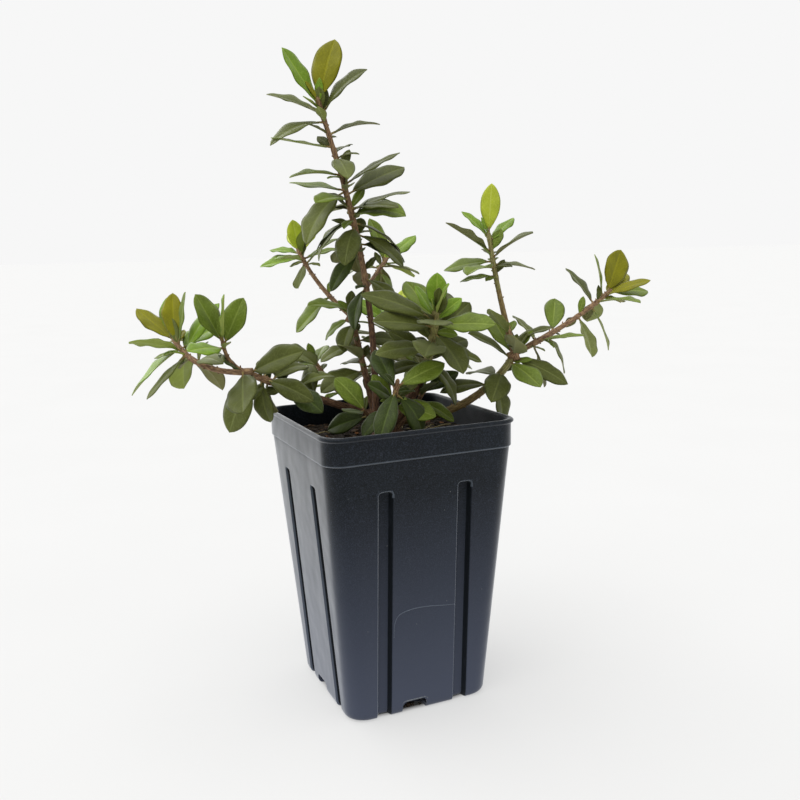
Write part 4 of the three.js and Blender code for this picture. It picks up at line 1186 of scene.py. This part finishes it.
PEAT = damp_mix("moist_peat", "#15100b", "#352a1f", 1.6, 0.95)
MIX_FINISHES = [damp_mix("bark_chip_dark", "#1c1610", "#3d3024", 1.0, 0.85),
                damp_mix("bark_chip_brown", "#3a2a1c", "#5f4833", 0.8, 0.8),
                damp_mix("bark_chip_orange", "#7a4a24", "#a5713c", 0.8, 0.75),
                damp_mix("straw_fibre", "#8f8259", "#bdb183", 0.6, 0.7)]
print("mix finishes:", 1 + len(MIX_FINISHES))

# %% [markdown]
# ### Ground
# The ground is a round-cornered patch whose rings shrink to the middle. Heights come from noise at
# three sizes. A displaced plane could do the same, but these rings also run down the pot's inside
# to its floor, so the mix is solid behind the notches.

# %% Ground
MIX_HALF = 50.6
GROUND_RINGS = 64
GROUND_CORNER = 10.5
MIX_TOP = 145.0
MIX_INSET, SUNK_CORNER = 4.2, 10
SUNK_ROWS = [(3, 2.6), (70, 70), (138, 138)]


def ground_height(x, y):
    """The mix's bumpy surface."""
    place = Vector((x, y, 0))
    rough = (1.1 * noise.noise(place * 0.06) + 0.9 * noise.noise(place * 0.19)
             + 0.5 * noise.noise(place * 0.55))
    edge = smooth_step((max(abs(x), abs(y)) - 40) / 10)
    return MIX_TOP - 0.9 + rough - 0.8 * float(edge)


def rounded_square(half, z, corner, per_side=36):
    """One level ring with rounded corners, starting at the middle of the front."""
    angles = np.arange(4 * per_side) / (4 * per_side) * 2 * np.pi
    direction = np.stack([np.cos(angles), np.sin(angles)], axis=1)
    power = 2 * half / max(corner, 0.5)
    stretch = half / (np.abs(direction) ** power).sum(axis=1) ** (1 / power)
    flat = direction * stretch[:, None]
    return np.concatenate([flat, np.full((len(flat), 1), z)], axis=1)


rings = [rounded_square(body_half(level) - WALL - MIX_INSET, z, SUNK_CORNER) for level, z in SUNK_ROWS]
for step in range(GROUND_RINGS):
    ring = rounded_square(MIX_HALF * (1 - step / GROUND_RINGS), 0, GROUND_CORNER)
    ring[:, 2] = [ground_height(x, y) for x, y, _ in ring]
    rings.append(ring)
ground = settle(make_piece("potting_mix_ground", *loft(rings), [PEAT]), "potting_mix", "potting_mix")
print("triangles of the ground:", triangles(ground))

# %% [markdown]
# ### Chips of bark
# Composted bark breaks into angular chips of a few millimetres. Each is a twelve-cornered solid,
# flattened and turned at random, and most lie half sunk. A particle system could scatter them, but
# a seeded loop lays every chip in the same place on each run. A few more lie behind each notch.

# %% Chips
GOLDEN = (1 + 5 ** 0.5) / 2
CHIP_REACH = 1.9
CHIP_COUNT, NOTCH_CHIPS = 1150, 14
CHIP_SIZES = (1.4, 1.8, 2.2, 2.8, 3.6, 5.0)
TRUNK_CLEARANCE, CORNER_CLEARANCE = 9, 7
CHIP_CORNERS = np.array([(0, a, b * GOLDEN) for a in (-1, 1) for b in (-1, 1)]
                        + [(a, b * GOLDEN, 0) for a in (-1, 1) for b in (-1, 1)]
                        + [(a * GOLDEN, 0, b) for a in (-1, 1) for b in (-1, 1)]) / CHIP_REACH


def outward(face):
    """A chip's face with its corners in the order that turns it outwards."""
    a, b, c = CHIP_CORNERS[face]
    return face if np.dot(np.cross(b - a, c - a), a) > 0 else face[::-1]


CHIP_FACES = [outward([i, j, k]) for i in range(12) for j in range(i + 1, 12) for k in range(j + 1, 12)
              if all(abs(np.linalg.norm(CHIP_CORNERS[a] - CHIP_CORNERS[b]) - 2 / CHIP_REACH) < 0.01
                     for a, b in ((i, j), (j, k), (i, k)))]


def chip(chance, size):
    """One flattened, angular chip about the origin."""
    corners = CHIP_CORNERS * [[chance.uniform(0.7, 1.25)] for _ in range(12)]
    corners = corners * (size * 0.5, size * chance.uniform(0.28, 0.45), size * chance.uniform(0.14, 0.28))
    spin = Matrix.Rotation(chance.uniform(0, 6.3), 3, "Z")
    tilt = Matrix.Rotation(chance.uniform(-0.5, 0.5), 3, "X")
    return corners @ np.array(spin @ tilt).T


chance = random.Random(31)
parts, picks = [], []
while len(parts) < CHIP_COUNT:
    x, y = chance.uniform(-MIX_HALF, MIX_HALF), chance.uniform(-MIX_HALF, MIX_HALF)
    size = chance.choice(CHIP_SIZES)
    near_corner = abs(x) + abs(y) > 2 * MIX_HALF - CORNER_CLEARANCE
    near_trunk = math.hypot(x, y) < TRUNK_CLEARANCE
    if max(abs(x), abs(y)) > MIX_HALF - size * 0.5 or near_corner or near_trunk:
        continue
    points = chip(chance, size) + (x, y, ground_height(x, y) + size * chance.uniform(0.0, 0.12))
    parts.append((points, CHIP_FACES))
    picks += [chance.choices((0, 1, 2), (66, 31, 3))[0]] * len(CHIP_FACES)
for wall in range(4):
    for _ in range(NOTCH_CHIPS):
        x, y = chance.uniform(-9, 1), chance.uniform(-FOOT_HALF + 3, -FOOT_HALF + 8.5)
        points = chip(chance, chance.uniform(1.2, 2.6)) + (x, y, chance.uniform(0.7, 2.2))
        parts.append((quarter_turns(points, wall), CHIP_FACES))
        picks += [chance.choices((0, 1, 2), (60, 36, 4))[0]] * len(CHIP_FACES)
chips = make_piece("potting_mix_chips", *gathered(parts), MIX_FINISHES[:3], picks, smooth=False)
settle(chips, "potting_mix", "potting_mix")
print("chips:", len(parts), " triangles:", triangles(chips))

# %% [markdown]
# ### Straw and root fibres
# Pale straw fibres lie on the mix, half of them near the right wall, as in the photograph. Each is
# a thin bent tube that follows the ground. A bevelled curve would look the same, but a tube of rings
# is a mesh from the start.

# %% Straw
STRAWS = 26
STRAW_EDGE = MIX_HALF - 2
NEAR_RIGHT, ANYWHERE = ((14, 42), (-30, 20)), ((-44, 44), (-44, 44))
chance = random.Random(12)
parts = []
for order in range(STRAWS):
    x, y = (chance.uniform(*span) for span in (ANYWHERE if order % 2 else NEAR_RIGHT))
    heading, reach = chance.uniform(0, math.pi), chance.uniform(5, 17)
    line = []
    for share in (-0.5, -0.25, 0.0, 0.25, 0.5):
        px = x + math.cos(heading + share * 0.7) * reach * share
        py = y + math.sin(heading + share * 0.7) * reach * share
        px, py = np.clip((px, py), -STRAW_EDGE, STRAW_EDGE)
        line.append((px, py, ground_height(px, py) + 1.0 + 0.8 * math.cos(share * 3)))
    path = smooth_path(line, 1.2)
    parts.append(loft(tube(path, chance.uniform(0.22, 0.42), 6, hint=(0.1, 0.2, 1))))
straw = make_piece("potting_mix_straw", *gathered(parts), [MIX_FINISHES[3]])
settle(straw, "potting_mix", "potting_mix")
print("straws:", len(parts), " triangles:", triangles(straw))
